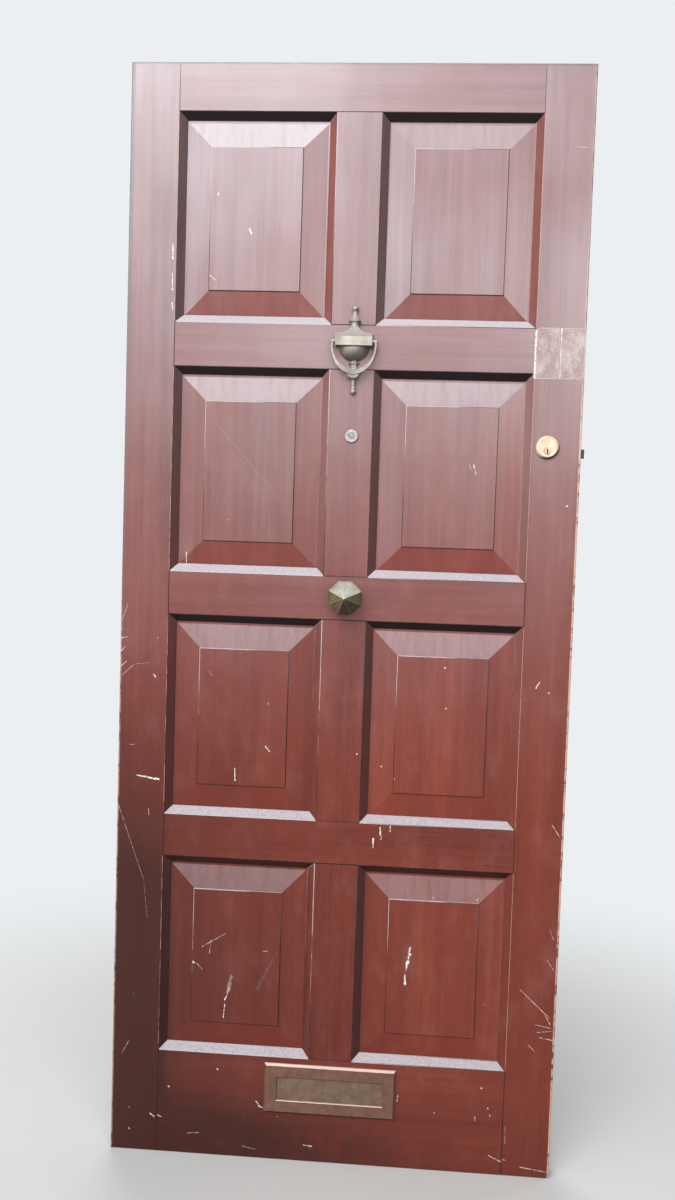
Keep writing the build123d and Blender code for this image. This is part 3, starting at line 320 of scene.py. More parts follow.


# %% [markdown]
# ## Stained hardwood
#
# The door is dark red hardwood under old varnish. Its figure is three layers of noise
# pulled out along the grain: broad bands, finger-wide streaks and fine fibres, with
# short dark pores over them. Light has bleached the top, and a painted glare of the sky
# lies over it too. Dust lies on every surface that faces up, painted paler as a sheen of
# sky. Faces turned down or to the right get painted shade, and the low left gets a painted
# cast shadow. White specks of paint have dried all over. Each board gets its own
# material, because two boards never share a grain.

# %% The wood's colours
class Wood:
    dark = rgb(94, 40, 31)
    middle = rgb(120, 53, 40)
    light = rgb(143, 68, 51)
    pore = rgb(58, 25, 21)
    # Pale grey-pink: bleaching, and a painted glare of the sky.
    bleached_and_glare = rgb(172, 161, 166)
    faded = rgb(158, 104, 96)
    # Whitish: dust, and a painted sheen of the sky.
    dust_and_sheen = rgb(195, 190, 195)
    bare = rgb(214, 172, 150)
    paint = rgb(238, 234, 228)
    # Near black: grime in the joints, and painted shade.
    grime_and_shade = rgb(20, 9, 9)
    # Painted shade for faces turned to the right.
    shade = rgb(40, 14, 12)
    # Painted cast shadow low on the left, and a dark foot.
    cast_shadow_and_foot = rgb(52, 26, 23)
    # Painted shade: the deeper red of faces turned down.
    shaded_red = rgb(124, 48, 36)
    rubbed = rgb(110, 106, 110)


# %% Where the weather and the painted glare reach
leaf_half = 0.4065
leaf_top = 1.981
# Heights over which the bleaching and the painted glare come in.
bleach_and_glare_heights = (0.62, 2.05)


class Lean:
    """How far a face leans along an axis, from -1 to 1, as each mask comes in."""
    slope = (0.06, 0.13)
    slope_away = (-0.06, -0.13)
    ledge = (0.3, 0.6)
    soffit = (-0.35, -0.6)
    left_bevel = (-0.3, -0.5)
    right_bevel = (0.35, 0.6)
    front = (-0.8, -0.9)
    front_half = (-0.1, -0.5)


class Rim:
    """Distances in from the leaf's edges between which the wear of the rim comes in."""
    left_scuffs = (8.0 * millimetre, 6.0 * millimetre)
    top_scuffs = (5.5 * millimetre, 3.5 * millimetre)
    right_bare = (4.3 * millimetre, 2.9 * millimetre)
    left_bare = (3.5 * millimetre, 2.3 * millimetre)


class Board(Finish):
    """A board's material, with the places and facings that its masks share."""

    def __init__(self, name, along, shift):
        super().__init__(name)
        self.along = along
        self.shift = shift
        self.height = self.axis("Z")
        self.side = self.axis("X")
        self.up = self.facing("Z")
        self.right = self.facing("X")
        self.high = self.step(self.height, *bleach_and_glare_heights)

    def grain(self, across_scale, along_scale, *character):
        """Noise pulled out along the board's grain; the scales are per metre."""
        factors = tuple(along_scale if axis == self.along else across_scale for axis in "XYZ")
        return self.noise(self.scaled(factors, self.shift), *character)

    def speckle(self, scale, *character):
        """Noise as fine along the grain as across it."""
        return self.noise(self.scaled((scale, scale, scale), self.shift), *character)


# %% Figure and marks
def wood_figure(board, tone):
    """Grain colour before any weathering, with its streaks, fibres and pores."""
    bands = board.grain(9, 0.8, 2.0, 0.5, 0.6)
    streaks = board.grain(70, 2.4, 4.0, 0.6, 0.3)
    fibres = board.grain(420, 12, 3.0, 0.6)
    pores = board.step(board.grain(1300, 60, 1.0, 0.5), 0.60, 0.72)
    figure = bands * 0.5 + streaks * 0.30 + fibres * 0.22 + (tone - 0.01)
    colour = board.mix(board.step(figure, 0.28, 0.52), Wood.dark, Wood.middle)
    colour = board.mix(board.step(figure, 0.50, 0.76), colour, Wood.light)
    return board.mix(pores * 0.4, colour, Wood.pore), streaks, fibres, pores


def stroke_mask(board, flat, start, end, half_start, half_end, crumble):
    """1 on a tapering line across the face; places and half widths are in millimetres."""
    first = Vector((start[0], 0, start[1])) * millimetre
    run = Vector((end[0], 0, end[1])) * millimetre - first
    offset = board.vector("SUBTRACT", flat, tuple(first))
    along_run = board.vector("DOT_PRODUCT", offset, tuple(run / run.length_squared), output="Value")
    share = board.math("MINIMUM", board.math("MAXIMUM", along_run, 0.0), 1.0)
    nearest = board.vector("SCALE", tuple(run), scale=share)
    away = board.vector("LENGTH", board.vector("SUBTRACT", offset, nearest), output="Value")
    width = (share * (half_end - half_start) + half_start) * millimetre
    return board.step(away / width + crumble, 1.3, 0.7)


def spattered(board, strokes):
    """White specks at random, and the strokes given, on the front alone."""
    cells = {"Vector": board.scaled((34, 34, 34), board.shift), "Scale": 1.0}
    specks = board.node("ShaderNodeTexVoronoi", "Distance", {"feature": "F1"}, cells)
    lots = board.node("ShaderNodeTexVoronoi", "Color", {"feature": "F1"}, cells)
    spatter = board.step(specks, 0.018, 0.030, 1.0, 0.0) * board.step(board.axis("X", lots), 0.70, 0.72)
    spatter = spatter * board.step(board.axis("Y", lots), 0.1, 1.0, 0.25, 0.9)
    flat = board.vector("MULTIPLY", board.place, (1, 0, 1))
    crumble = board.noise(board.scaled((190, 190, 190)), 3.0, 0.7) * 4.8 - 2.1
    for start, end, half_start, half_end, strength in strokes:
        mark = stroke_mask(board, flat, start, end, half_start, half_end, crumble) * strength
        spatter = board.math("MAXIMUM", spatter, mark)
    return spatter * board.step(board.facing("Y"), *Lean.front)


# %% Weather, and painted light and shade
def cast_shadow_and_foot_share(board, mottle):
    """Painted cast shadow in the low left of the door, darkest at the corner, and darker along the foot."""
    low_left = board.step(board.height, 1.05, 0.3) * board.step(board.side, 0.15, -0.40)
    low_left = low_left * board.step(board.side, -0.30, -0.33, 0.6, 1.1)
    corner = board.step(board.height, 0.62, 0.0) * board.step(board.side, -0.26, -0.40)
    corner = corner * board.step(mottle, 0.2, 0.6, 0.4, 0.75)
    foot = board.step(board.height, 0.15, 0.03) * board.step(board.side, 0.34, 0.0, 0.3, 1.0)
    foot = foot * board.step(mottle, 0.25, 0.6, 0.25, 0.6)
    return board.math("MINIMUM", low_left + corner + foot, 0.85)


def bleach_and_glare_share(board, streaks, turned_down, top_right):
    """Bleaching and painted glare: worst high up, cloudy and streaked, less where turned from the light."""
    clouds = board.noise(board.scaled((4, 4, 2.6), board.shift), 3.0, 0.55)
    right_slopes = board.step(board.right, *Lean.slope) * board.step(board.side, 0.10, -0.15, 0.18, 0.34)
    left_slopes = board.step(board.right, *Lean.slope_away) * board.step(board.side, -0.15, 0.10, 0.12, 0.34)
    left_bevels = board.step(board.right, *Lean.left_bevel) * board.step(board.height, 1.3, 1.6, 0.3, 0.88)
    bleach_and_glare = board.high * board.step(clouds, 0.25, 0.75, 0.62, 1.02)
    bleach_and_glare = bleach_and_glare * board.step(streaks, 0.3, 0.7, 0.84, 1.06) * (1.0 - turned_down * 0.55)
    bleach_and_glare = bleach_and_glare * (1.0 - right_slopes) * (1.0 + left_slopes) * (1.0 - left_bevels)
    return bleach_and_glare * (1.0 - top_right * 0.2)


def weathered(board, colour, streaks, grit):
    """A board's colour once faded, with bleaching and dirt, and with painted glare, painted shade,
    a painted cast shadow and a painted sheen of sky; and the masks behind its gloss.
    """
    mottle = board.noise(board.scaled((22, 22, 12), board.shift), 4.0, 0.6)
    # Faces turned down get painted shade: less of the painted glare, and a deeper red.
    turned_down = board.step(board.up, *Lean.slope_away)
    # At the top right there is less painted glare, less dust film and less gloss.
    top_right = board.step(board.side, -0.06, 0.0) * board.step(board.height, 1.62, 1.80)
    bleach_and_glare = bleach_and_glare_share(board, streaks, turned_down, top_right)
    colour = board.mix(board.step(mottle, 0.45, 0.80) * 0.22, colour, Wood.faded)
    # Painted cast shadow in the low left, and a darker foot.
    colour = board.mix(cast_shadow_and_foot_share(board, mottle), colour, Wood.cast_shadow_and_foot)
    # Bleaching, with a painted glare of the sky over it.
    colour = board.mix(bleach_and_glare * 0.78, colour, Wood.bleached_and_glare)
    colour = board.mix(turned_down * 0.34, colour, Wood.shaded_red)

    # A film of dust on slopes turned up, with a painted sheen of the sky on it.
    film = board.step(board.up, *Lean.slope) * board.step(grit, 0.2, 0.7, 0.7, 1.0)
    film = film * (board.high * 0.33 + 0.24) * board.step(streaks, 0.25, 0.6, 0.7, 1.0)
    colour = board.mix(film * (1.0 - top_right * 0.7), colour, Wood.dust_and_sheen)
    # Dust on ledges turned up, with a painted sheen of the sky.
    dust_and_sheen = board.step(board.up, *Lean.ledge) * board.step(grit, 0.26, 0.60, 0.42, 1.0)
    colour = board.mix(dust_and_sheen * 0.94, colour, Wood.dust_and_sheen)
    # Painted shade on faces turned to the right, away from the light.
    colour = board.mix(board.step(board.right, *Lean.right_bevel) * 0.7, colour, Wood.shade)
    # Painted shade, near black, on faces turned down, a little weaker low on the door.
    covered = board.step(board.height, 0.45, 0.8, 0.80, 0.985)
    colour = board.mix(board.step(board.up, *Lean.soffit) * covered, colour, Wood.grime_and_shade)
    return colour, bleach_and_glare, dust_and_sheen, top_right


def rim_worn(board, colour, grit):
    """Grey scuffs on the leaf's left and top rim, and bare wood low on both sides."""
    front = board.step(board.facing("Y"), *Lean.front_half)
    scuffs = board.speckle(60, 4.0, 0.7)
    left = board.side + leaf_half
    right = leaf_half - board.side
    scuffed = board.math("MAXIMUM", board.step(left, *Rim.left_scuffs) * board.high,
                         board.step(leaf_top - board.height, *Rim.top_scuffs) * 0.7)
    colour = board.mix(scuffed * front * board.step(scuffs, 0.25, 0.6, 0.45, 0.9), colour, Wood.rubbed)
    right_bare = board.step(right, *Rim.right_bare) * board.step(board.height, 1.50, 1.34, 0.35, 1.0)
    left_bare = board.step(left, *Rim.left_bare) * board.step(board.height, 1.1, 0.9) * 0.6
    bared = board.math("MAXIMUM", right_bare, left_bare) * board.step(scuffs + grit * 0.2, 0.46, 0.62)
    return board.mix(bared * front * 0.9, colour, Wood.bare)


# %% A board's varnish
def wood_finish(name, along, shift, tone, strokes):
    """Varnished board with its grain along an axis, and the marks that have landed on it."""
    board = Board(name, along, shift)
    grit = board.noise(board.scaled((420, 420, 420)), 2.0, 0.7)
    colour, streaks, fibres, pores = wood_figure(board, tone)
    colour, bleach_and_glare, dust_and_sheen, top_right = weathered(board, colour, streaks, grit)
    colour = rim_worn(board, colour, grit)
    spatter = spattered(board, strokes)
    colour = board.mix(spatter, colour, Wood.paint)
    relief = board.grain(28, 5, 2.0, 0.5) * 0.22 + fibres * 0.03 - pores * 0.04
    roughness = streaks * 0.16 + 0.24 + dust_and_sheen * 0.4 + bleach_and_glare * 0.1 + spatter * 0.3
    gloss = (board.high * 0.42 + 0.10) * (1.0 - dust_and_sheen) * board.step(board.up, -0.35, -0.10)
    gloss = gloss * (1.0 - top_right * 0.35)
    return board.finish(colour, roughness, board.bump(relief, millimetre), IOR=1.5,
                        Specular_IOR_Level=0.22, Coat_Weight=gloss, Coat_Roughness=0.18, Coat_IOR=1.5)


# %% [markdown]
# Where hands, brooms and other doors have rubbed an arris, the stain is gone and paler
# wood shows. The eased edge is a strip of faces of its own, so it takes a second
# material in which noise breaks the bare wood into lengths. Along a joint the same
# strip is a groove full of dirt, so there it goes dark instead.

# %% Worn arrises and joints
opening_low = 0.195
opening_half = 0.1835
row_half_pitch = 0.2225
muntin_half = 0.0395
rail_half = 0.3195


def joint_share(worn):
    """1 where a long arris runs beside another board, and 0 where it borders an opening."""
    if worn.along == "X":
        side = abs(worn.side)
        return worn.math("MAXIMUM", worn.step(side, muntin_half + 1.0 * millimetre, muntin_half),
                         worn.step(side, rail_half - 1.6 * millimetre, rail_half - 1.2 * millimetre))
    reach = worn.math("PINGPONG", worn.height - (opening_low + opening_half), row_half_pitch)
    beside = worn.step(reach, opening_half - 1.4 * millimetre, opening_half - 0.8 * millimetre)
    below = worn.step(worn.height, opening_low, opening_low - 1.0 * millimetre)
    return worn.math("MAXIMUM", beside, below)


def worn_finish(name, along, shift, amount):
    """Rubbed arris: bare in lengths, dirt and a painted highlight on top, painted shade below
    and where it faces right.
    """
    worn = Board(name, along, shift)
    patches = worn.speckle(34, 4.0, 0.7)
    nicks = worn.speckle(260, 2.0, 0.6)
    bare = worn.step(patches + nicks * 0.3, 0.70 - amount, 0.86 - amount)
    # Painted shade on strips turned to the right or down.
    shaded_strip = worn.math("MAXIMUM", worn.step(worn.right, 0.01, 0.08), worn.step(worn.up, -0.01, -0.08))
    stained = worn.mix(worn.high * 0.6, worn.mix(nicks, Wood.dark, Wood.light), Wood.bleached_and_glare)
    colour = worn.mix(bare * 0.62, stained, Wood.bare)
    # Dust and a painted highlight on strips turned up.
    dust_and_highlight = worn.step(worn.up, 0.02, 0.12) * worn.step(nicks, 0.3, 0.6, 0.6, 1.0)
    colour = worn.mix(dust_and_highlight, colour, Wood.dust_and_sheen)
    colour = worn.mix(shaded_strip * 0.88, colour, Wood.grime_and_shade)
    joint = joint_share(worn) * worn.step(worn.height, 1.95, 1.75, 0.35, 0.97)
    colour = worn.mix(joint, colour, Wood.grime_and_shade)
    return worn.finish(colour, bare * 0.3 + 0.35, worn.bump(nicks, 0.2 * millimetre), IOR=1.5,
                       Specular_IOR_Level=0.25)


# %% [markdown]
# ## Eased boards
#
# CAD leaves each arris knife sharp, and a knife edge never catches light. Sandpaper
# and years of use have rounded the real ones by about a millimetre. A Bevel modifier
# would round the grooves and the letter slot too, so the edges are picked by where they
# lie. One operator eases all of a board's edges without its clamp, because with the
# clamp the shortest edge nearby would set the width of every arris.

# %% Joined copy of a node's mesh
weld_distance = 0.005 * millimetre
flat_turn = math.radians(0.4)


def joined_copy(node):
    """The node's loose triangles merged into flat faces, ready for edge work."""
    mesh = bmesh.new()
    mesh.from_mesh(nodes[node].data)
    bmesh.ops.remove_doubles(mesh, verts=mesh.verts, dist=weld_distance)
    bmesh.ops.dissolve_limit(mesh, angle_limit=flat_turn, verts=mesh.verts, edges=mesh.edges)
    return mesh


def sharp_edges(mesh, least_angle):
    """Convex edges with a face on both sides that turn by more than an angle."""
    picked = []
    for edge in mesh.edges:
        if len(edge.link_faces) == 2 and edge.calc_face_angle_signed() > math.radians(least_angle):
            picked.append(edge)
    return picked


def ease(mesh, edges, width, clamp=True):
    """Round edges by a width; the new strips take the second material."""
    made = bmesh.ops.bevel(mesh, geom=edges, offset=width, offset_type="OFFSET", segments=2,
                           profile=0.5, affect="EDGES", material=1, clamp_overlap=clamp)
    return len(made["faces"])


def crease(mesh, sharp_angle=32, flat_angle=180, broad=1.0):
    """Shade smoothly, except over sharp edges and where a broad flat face ends."""
    for face in mesh.faces:
        face.smooth = True
    for edge in mesh.edges:
        if len(edge.link_faces) != 2:
            continue
        turn = math.degrees(edge.calc_face_angle(0.0))
        breadth = max(face.calc_area() / max(side.calc_length() for side in face.edges)
                      for face in edge.link_faces)
        edge.smooth = not (turn > sharp_angle or (turn > flat_angle and breadth > broad))


# %% Stand-ins for the frame's nodes
def stand_in(name, mesh, materials, node):
    """Make the piece that stands for a node, not yet on any body."""
    data = bpy.data.meshes.new(name)
    mesh.to_mesh(data)
    mesh.free()
    for material in materials:
        data.materials.append(material)
    piece = bpy.data.objects.new(name, data)
    scene.collection.objects.link(piece)
    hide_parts(node)
    slot_of_node(node)
    return piece


def dressed(name, mesh, materials, node):
    """A stand-in that rides on the node's own body."""
    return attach(stand_in(name, mesh, materials, node), body_of_node(node))


def body_of_node(node):
    for body, names in frame["record"]["behaviour"]["bodies"].items():
        if node in names:
            return body


def slot_of_node(node):
    for part in frame["record"]["subparts"]:
        if part["node"] == node:
            return part["material_slot"]


# %% What is eased, and how far
face_half = abs(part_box("top_rail")[0].y)
groove_reach = 10.0 * millimetre
shortest_eased = 4.0 * millimetre
arris_width = 0.8 * millimetre
field_width = 1.3 * millimetre
broad_face = 4.0 * millimetre
board_turn = 20
slot_reach = 0.125
slot_low = 0.09
slot_high = 0.185

uprights = ["hinge_stile", "lock_stile"] + [f"muntin_{row}" for row in (1, 2, 3, 4)]
rails = ["top_rail", "frieze_rail", "lock_rail", "lower_rail", "bottom_rail"]
panels = [f"panel_{row}_{side}" for row in (1, 2, 3, 4) for side in ("left", "right")]
board_tones = {"hinge_stile": -0.03, "muntin_2": 0.05, "muntin_3": -0.03, "muntin_4": -0.08,
               "lower_rail": -0.02, "panel_2_right": 0.05, "panel_3_right": 0.05, "panel_4_right": 0.02}
worn_shares = {"lock_stile": 0.24, **{panel: 0.02 for panel in panels}}
usual_worn_share = 0.12
print("boards:", len(uprights) + len(rails) + len(panels), "with faces at", round(face_half, 4), "m")

# %% [markdown]
# Some marks are large enough to have a place of their own: dried drips, dashes of paint
# and scratches. Each is a stroke with its start and end on the face in millimetres, its
# half width at both, and how strongly it covers.

# %% Drips, dashes and scratches
board_marks = {
    "panel_1_left": [((-247, 1757), (-250, 1747), 1.0, 0.7, 0.8), ((-190, 1695), (-186, 1685), 1.2, 0.9, 0.8),
                     ((-258, 1612), (-248, 1604), 1.2, 0.7, 0.6)],
    "panel_2_left": [((-291, 1119), (-291, 1098), 1.0, 0.6, 0.8),
                     ((-235, 1345), (-125, 1222), 1.6, 0.8, 0.05)],
    "panel_2_right": [((221, 1290), (225, 1274), 1.0, 0.5, 0.6), ((213, 1292), (216, 1281), 0.7, 0.5, 0.4)],
    "panel_3_left": [((-191, 728), (-190, 706), 0.7, 1.2, 0.9), ((-136, 771), (-128, 762), 0.9, 1.5, 0.85),
                     ((-133, 851), (-132, 849), 1.5, 1.2, 0.9), ((-243, 905), (-236, 896), 0.6, 0.4, 0.35)],
    "panel_3_right": [((75, 744), (76, 743), 1.2, 1.2, 0.8), ((100, 723), (100, 722), 1.2, 1.0, 0.8),
                      ((184, 928), (184, 927), 1.2, 1.0, 0.8), ((188, 855), (188, 854), 1.2, 1.0, 0.8)],
    "panel_4_left": [((-187, 342), (-191, 318), 2.6, 3.6, 0.20), ((-191, 318), (-196, 300), 3.0, 0.8, 0.35),
                     ((-196, 300), (-198, 294), 1.4, 2.0, 0.95), ((-198, 287), (-200, 262), 0.7, 1.0, 0.85),
                     ((-243, 393), (-200, 420), 0.8, 0.5, 0.4), ((-229, 381), (-227, 406), 0.7, 0.5, 0.45),
                     ((-259, 363), (-257, 361), 1.6, 1.3, 0.9), ((-252, 361), (-241, 349), 0.7, 0.4, 0.4),
                     ((-130, 390), (-121, 392), 0.8, 0.6, 0.5), ((-103, 392), (-140, 318), 1.0, 4.0, 0.035)],
    "panel_4_right": [((140, 414), (138, 398), 1.6, 3.8, 1.0), ((138, 398), (133, 368), 3.8, 0.7, 1.0),
                      ((132, 362), (132, 353), 0.7, 1.4, 0.9), ((133, 351), (134, 344), 1.8, 2.8, 1.0),
                      ((258, 508), (258, 507), 1.4, 1.2, 0.9), ((178, 510), (178, 506), 0.8, 0.6, 0.5)],
    "muntin_3": [((18, 738), (18, 737), 1.2, 1.0, 0.8), ((31, 766), (31, 765), 1.2, 1.0, 0.8)],
    "lower_rail": [((78, 634), (78, 620), 1.0, 1.6, 0.9), ((66, 612), (66, 594), 1.4, 0.8, 0.9),
                   ((96, 638), (96, 628), 1.2, 1.6, 0.9), ((81, 618), (80, 612), 0.8, 1.2, 0.8)],
    "bottom_rail": [((278, 162), (278, 161), 1.4, 1.2, 0.9), ((291, 125), (292, 123), 1.2, 1.0, 0.8),
                    ((296, 112), (296, 110), 1.2, 1.0, 0.8), ((194, 110), (195, 109), 1.4, 1.2, 0.8),
                    ((269, 107), (269, 99), 0.7, 0.6, 0.6), ((-299, 125), (-298, 124), 1.4, 1.2, 0.8),
                    ((-208, 165), (-207, 164), 1.3, 1.1, 0.8), ((-262, 38), (-240, 41), 0.7, 1.1, 0.3),
                    ((-158, 21), (-133, 16), 0.6, 0.5, 0.45), ((-44, 31), (-29, 30), 0.8, 1.2, 0.6),
                    ((-134, 108), (-127, 99), 1.2, 1.2, 0.8), ((-131, 100), (-119, 96), 1.0, 0.8, 0.7),
                    ((127, 138), (126, 126), 0.9, 1.0, 0.6), ((296, 36), (318, 26), 0.9, 0.7, 0.7),
                    ((-320, 70), (-312, 66), 0.8, 1.2, 0.8)],
    "hinge_stile": [((-371, 708), (-331, 702), 1.2, 1.9, 0.95), ((-404, 651), (-354, 513), 0.4, 0.3, 0.42),
                    ((-354, 513), (-346, 442), 0.3, 0.3, 0.3), ((-402, 892), (-380, 912), 0.5, 0.4, 0.5),
                    ((-380, 912), (-352, 916), 0.4, 0.3, 0.4), ((-405, 959), (-394, 962), 0.6, 0.4, 0.7),
                    ((-405, 935), (-397, 944), 0.7, 0.5, 0.7), ((-405, 908), (-394, 917), 0.6, 0.4, 0.7),
                    ((-404, 992), (-394, 1022), 0.5, 0.4, 0.6), ((-384, 764), (-376, 765), 0.6, 0.4, 0.5),
                    ((-348, 646), (-347, 636), 0.9, 0.7, 0.6), ((-343, 894), (-341, 891), 1.3, 1.9, 0.9),
                    ((-338, 963), (-338, 962), 1.2, 1.0, 0.6), ((-388, 184), (-375, 208), 0.8, 0.6, 0.45),
                    ((-333, 71), (-325, 66), 1.0, 1.3, 0.8), ((-372, 81), (-372, 80), 1.2, 1.0, 0.7),
                    ((-372, 40), (-371, 39), 1.2, 1.0, 0.7), ((-326, 1666), (-326, 1640), 0.7, 1.7, 0.8),
                    ((-326, 1616), (-325, 1586), 0.6, 1.4, 0.7), ((-325, 1562), (-324, 1550), 1.5, 0.8, 0.7),
                    ((-358, 1903), (-319, 1903), 0.8, 0.5, 0.16)],
    "lock_stile": [((352, 910), (346, 899), 1.0, 1.3, 0.8), ((369, 891), (369, 890), 1.3, 1.1, 0.8),
                   ((371, 286), (400, 281), 0.6, 0.5, 0.7), ((374, 272), (401, 276), 0.5, 0.4, 0.6),
                   ((378, 263), (402, 259), 0.5, 0.5, 0.7), ((359, 248), (372, 236), 0.8, 0.5, 0.5),
                   ((387, 305), (397, 288), 0.5, 0.6, 0.7), ((341, 349), (395, 300), 0.5, 0.7, 0.6),
                   ((387, 406), (403, 383), 0.5, 0.4, 0.5), ((389, 462), (397, 444), 0.5, 0.4, 0.5),
                   ((385, 654), (400, 631), 0.7, 0.5, 0.5), ((354, 18), (403, 12), 0.9, 0.6, 0.7),
                   ((386, 1223), (386, 1222), 1.4, 1.2, 0.8), ((373, 1841), (405, 1839), 1.6, 0.9, 0.22),
                   ((322, 30), (326, 29), 1.2, 0.8, 0.7), ((324, 92), (325, 60), 0.5, 0.6, 0.5)],
}
print("marks:", sum(len(marks) for marks in board_marks.values()))


# %% Ease and dress the boards
def board_edges(mesh):
    """Every sharp edge near a face of the board, apart from the letter slot's."""
    picked = []
    for edge in sharp_edges(mesh, board_turn):
        middle = (edge.verts[0].co + edge.verts[1].co) / 2
        in_slot = abs(middle.x) < slot_reach and slot_low < middle.z < slot_high
        if abs(middle.y) >= groove_reach and not in_slot and edge.calc_length() >= shortest_eased:
            picked.append(edge)
    return picked


def dress_board(node, along):
    shift = tuple(grain_random.uniform(-40, 40) for _ in "XYZ")
    mesh = joined_copy(node)
    made = ease(mesh, board_edges(mesh), field_width if node in panels else arris_width, clamp=False)
    crease(mesh, flat_angle=3, broad=broad_face)
    worn_share = worn_shares.get(node, usual_worn_share)
    finishes = [wood_finish(node, along, shift, board_tones.get(node, 0.0), board_marks.get(node, ())),
                worn_finish(node + "_worn", along, shift, worn_share)]
    dressed(node + "_board", mesh, finishes, node)
    return made


grain_random = random.Random(11)
for boards, along in ((uprights, "Z"), (rails, "X"), (panels, "Z")):
    for node in boards:
        print(node, "eased faces:", dress_board(node, along))


# %% [markdown]
# ## Metal fittings
#
# All the fittings have gone dull, each in its own way: the knocker is grey-green, the
# knob olive with paler ridges, the cylinder pale and rubbed, the letter plate brown. One
# function makes them from two colours, a cloudy mask and fine pitting, with painted shade
# on the faces turned down or to the right and a painted highlight on those turned up.

# %% Tarnished metal
# Painted shade for metal faces turned down or to the right.
shade_colour = rgb(24, 19, 16)
pitting = 0.04


def metal_finish(name, bright, dull, cover, gloss=(0.28, 0.5), cloud=60, metallic=(1.0, 0.5),
                 shade_strength=0.6, top_light=0.0, top_light_colour=(1, 1, 1, 1)):
    """Tarnished metal: cover is how much of it is dull, then how dark the painted shade makes faces
    turned down or to the right, and how pale the painted highlight makes the faces that look up."""
    metal = Finish(name)
    clouds = metal.noise(metal.scaled((cloud, cloud, cloud)), 4.0, 0.65)
    grit = metal.noise(metal.scaled((900, 900, 900)), 2.0, 0.6)
    film = metal.step(clouds + grit * 0.25, 0.92 - cover, 1.12 - cover * 0.6)
    colour = metal.mix(film, bright, dull)
    up = metal.facing("Z")
    # Painted highlight on faces turned up, broken by the clouds.
    pale = metal.step(up, 0.02, 0.3) * metal.step(clouds, 0.30, 0.62, 0.7, 1.0) * top_light
    colour = metal.mix(pale, colour, top_light_colour)
    # Painted shade on faces turned down or to the right.
    painted_shade = metal.step(metal.facing("X") * 0.6 - up, 0.0, 0.72) * shade_strength
    colour = metal.mix(painted_shade, colour, shade_colour)
    roughness = film * (gloss[1] - gloss[0]) + gloss[0] + painted_shade * 0.3
    shine = (film * (metallic[1] - metallic[0]) + metallic[0]) * (1.0 - painted_shade * 0.8)
    return metal.finish(colour, roughness, metal.bump(grit * pitting + clouds * 0.1, millimetre),
                        Metallic=shine)


# Each fitting sets its own painted shade below and at the right, and its painted highlight on top.
class Metal:
    knocker = metal_finish("knocker_patina", rgb(162, 155, 146), rgb(130, 123, 113), 0.5, (0.42, 0.6),
                           metallic=(0.6, 0.35), shade_strength=0.6, top_light=0.35,
                           top_light_colour=rgb(206, 195, 190), cloud=30)
    knocker_edge = metal_finish("knocker_rubbed", rgb(206, 198, 188), rgb(168, 162, 150), 0.3, (0.36, 0.5),
                                metallic=(0.6, 0.4))
    knob = metal_finish("knob_tarnish", rgb(140, 124, 92), rgb(104, 90, 62), 0.5, (0.26, 0.42),
                        metallic=(0.7, 0.5), shade_strength=0.85, top_light=0.85, top_light_colour=rgb(204, 204, 192),
                        cloud=110)
    knob_edge = metal_finish("knob_rubbed", rgb(196, 182, 148), rgb(140, 126, 96), 0.4, (0.24, 0.4),
                             shade_strength=0.7, top_light=0.8, top_light_colour=rgb(236, 228, 206))
    cylinder = metal_finish("cylinder_brass", rgb(216, 192, 166), rgb(190, 166, 142), 0.45, (0.34, 0.5),
                            metallic=(0.5, 0.3), shade_strength=0.97)
    cylinder_edge = metal_finish("cylinder_rubbed", rgb(238, 216, 184), rgb(206, 184, 156), 0.3,
                                 (0.26, 0.4), metallic=(0.7, 0.4), shade_strength=0.97)
    plug = metal_finish("plug_brass", rgb(196, 168, 146), rgb(158, 132, 114), 0.5, (0.34, 0.5),
                        metallic=(0.5, 0.3))
    letter = metal_finish("letter_bronze", rgb(138, 100, 84), rgb(112, 78, 64), 0.5, (0.34, 0.5),
                          cloud=50, metallic=(0.5, 0.35), shade_strength=0.95, top_light=0.62,
                          top_light_colour=rgb(226, 204, 196))
    flap = metal_finish("flap_bronze", rgb(140, 116, 96), rgb(114, 90, 74), 0.5, (0.3, 0.46), cloud=60,
                        metallic=(0.5, 0.35))
    letter_edge = metal_finish("letter_rubbed", rgb(190, 156, 138), rgb(140, 108, 92), 0.35, (0.28, 0.44),
                               metallic=(0.6, 0.4), shade_strength=0.9, top_light=0.9,
                               top_light_colour=rgb(244, 232, 228), cloud=90)
    viewer = metal_finish("viewer_chrome", rgb(176, 172, 170), rgb(134, 130, 128), 0.5, (0.3, 0.46),
                          metallic=(0.6, 0.4), shade_strength=0.97, cloud=300)
    steel = metal_finish("zinc_steel", rgb(176, 178, 180), rgb(130, 128, 124), 0.4, (0.3, 0.5))
    latch_brass = metal_finish("latch_brass", rgb(190, 160, 108), rgb(140, 116, 76), 0.4, (0.24, 0.42),
                               shade_strength=0.3)
    bolt_bronze = metal_finish("bolt_bronze", rgb(122, 104, 76), rgb(84, 72, 54), 0.5, (0.3, 0.46))


chipped = rgb(120, 104, 76)


def enamel_finish(name, colour, worn):
    """Baked enamel, with chips and a slight orange-peel."""
    paint = Finish(name)
    clouds = paint.noise(paint.scaled((45, 45, 45)), 4.0, 0.65)
    peel = paint.noise(paint.scaled((700, 700, 700)), 1.0, 0.5)
    chips = paint.step(clouds, 0.66, 0.70)
    shade = paint.mix(chips, paint.mix(clouds, colour, worn), chipped)
    return paint.finish(shade, clouds * 0.15 + 0.3, paint.bump(peel * 0.03 - chips * 0.06, millimetre))


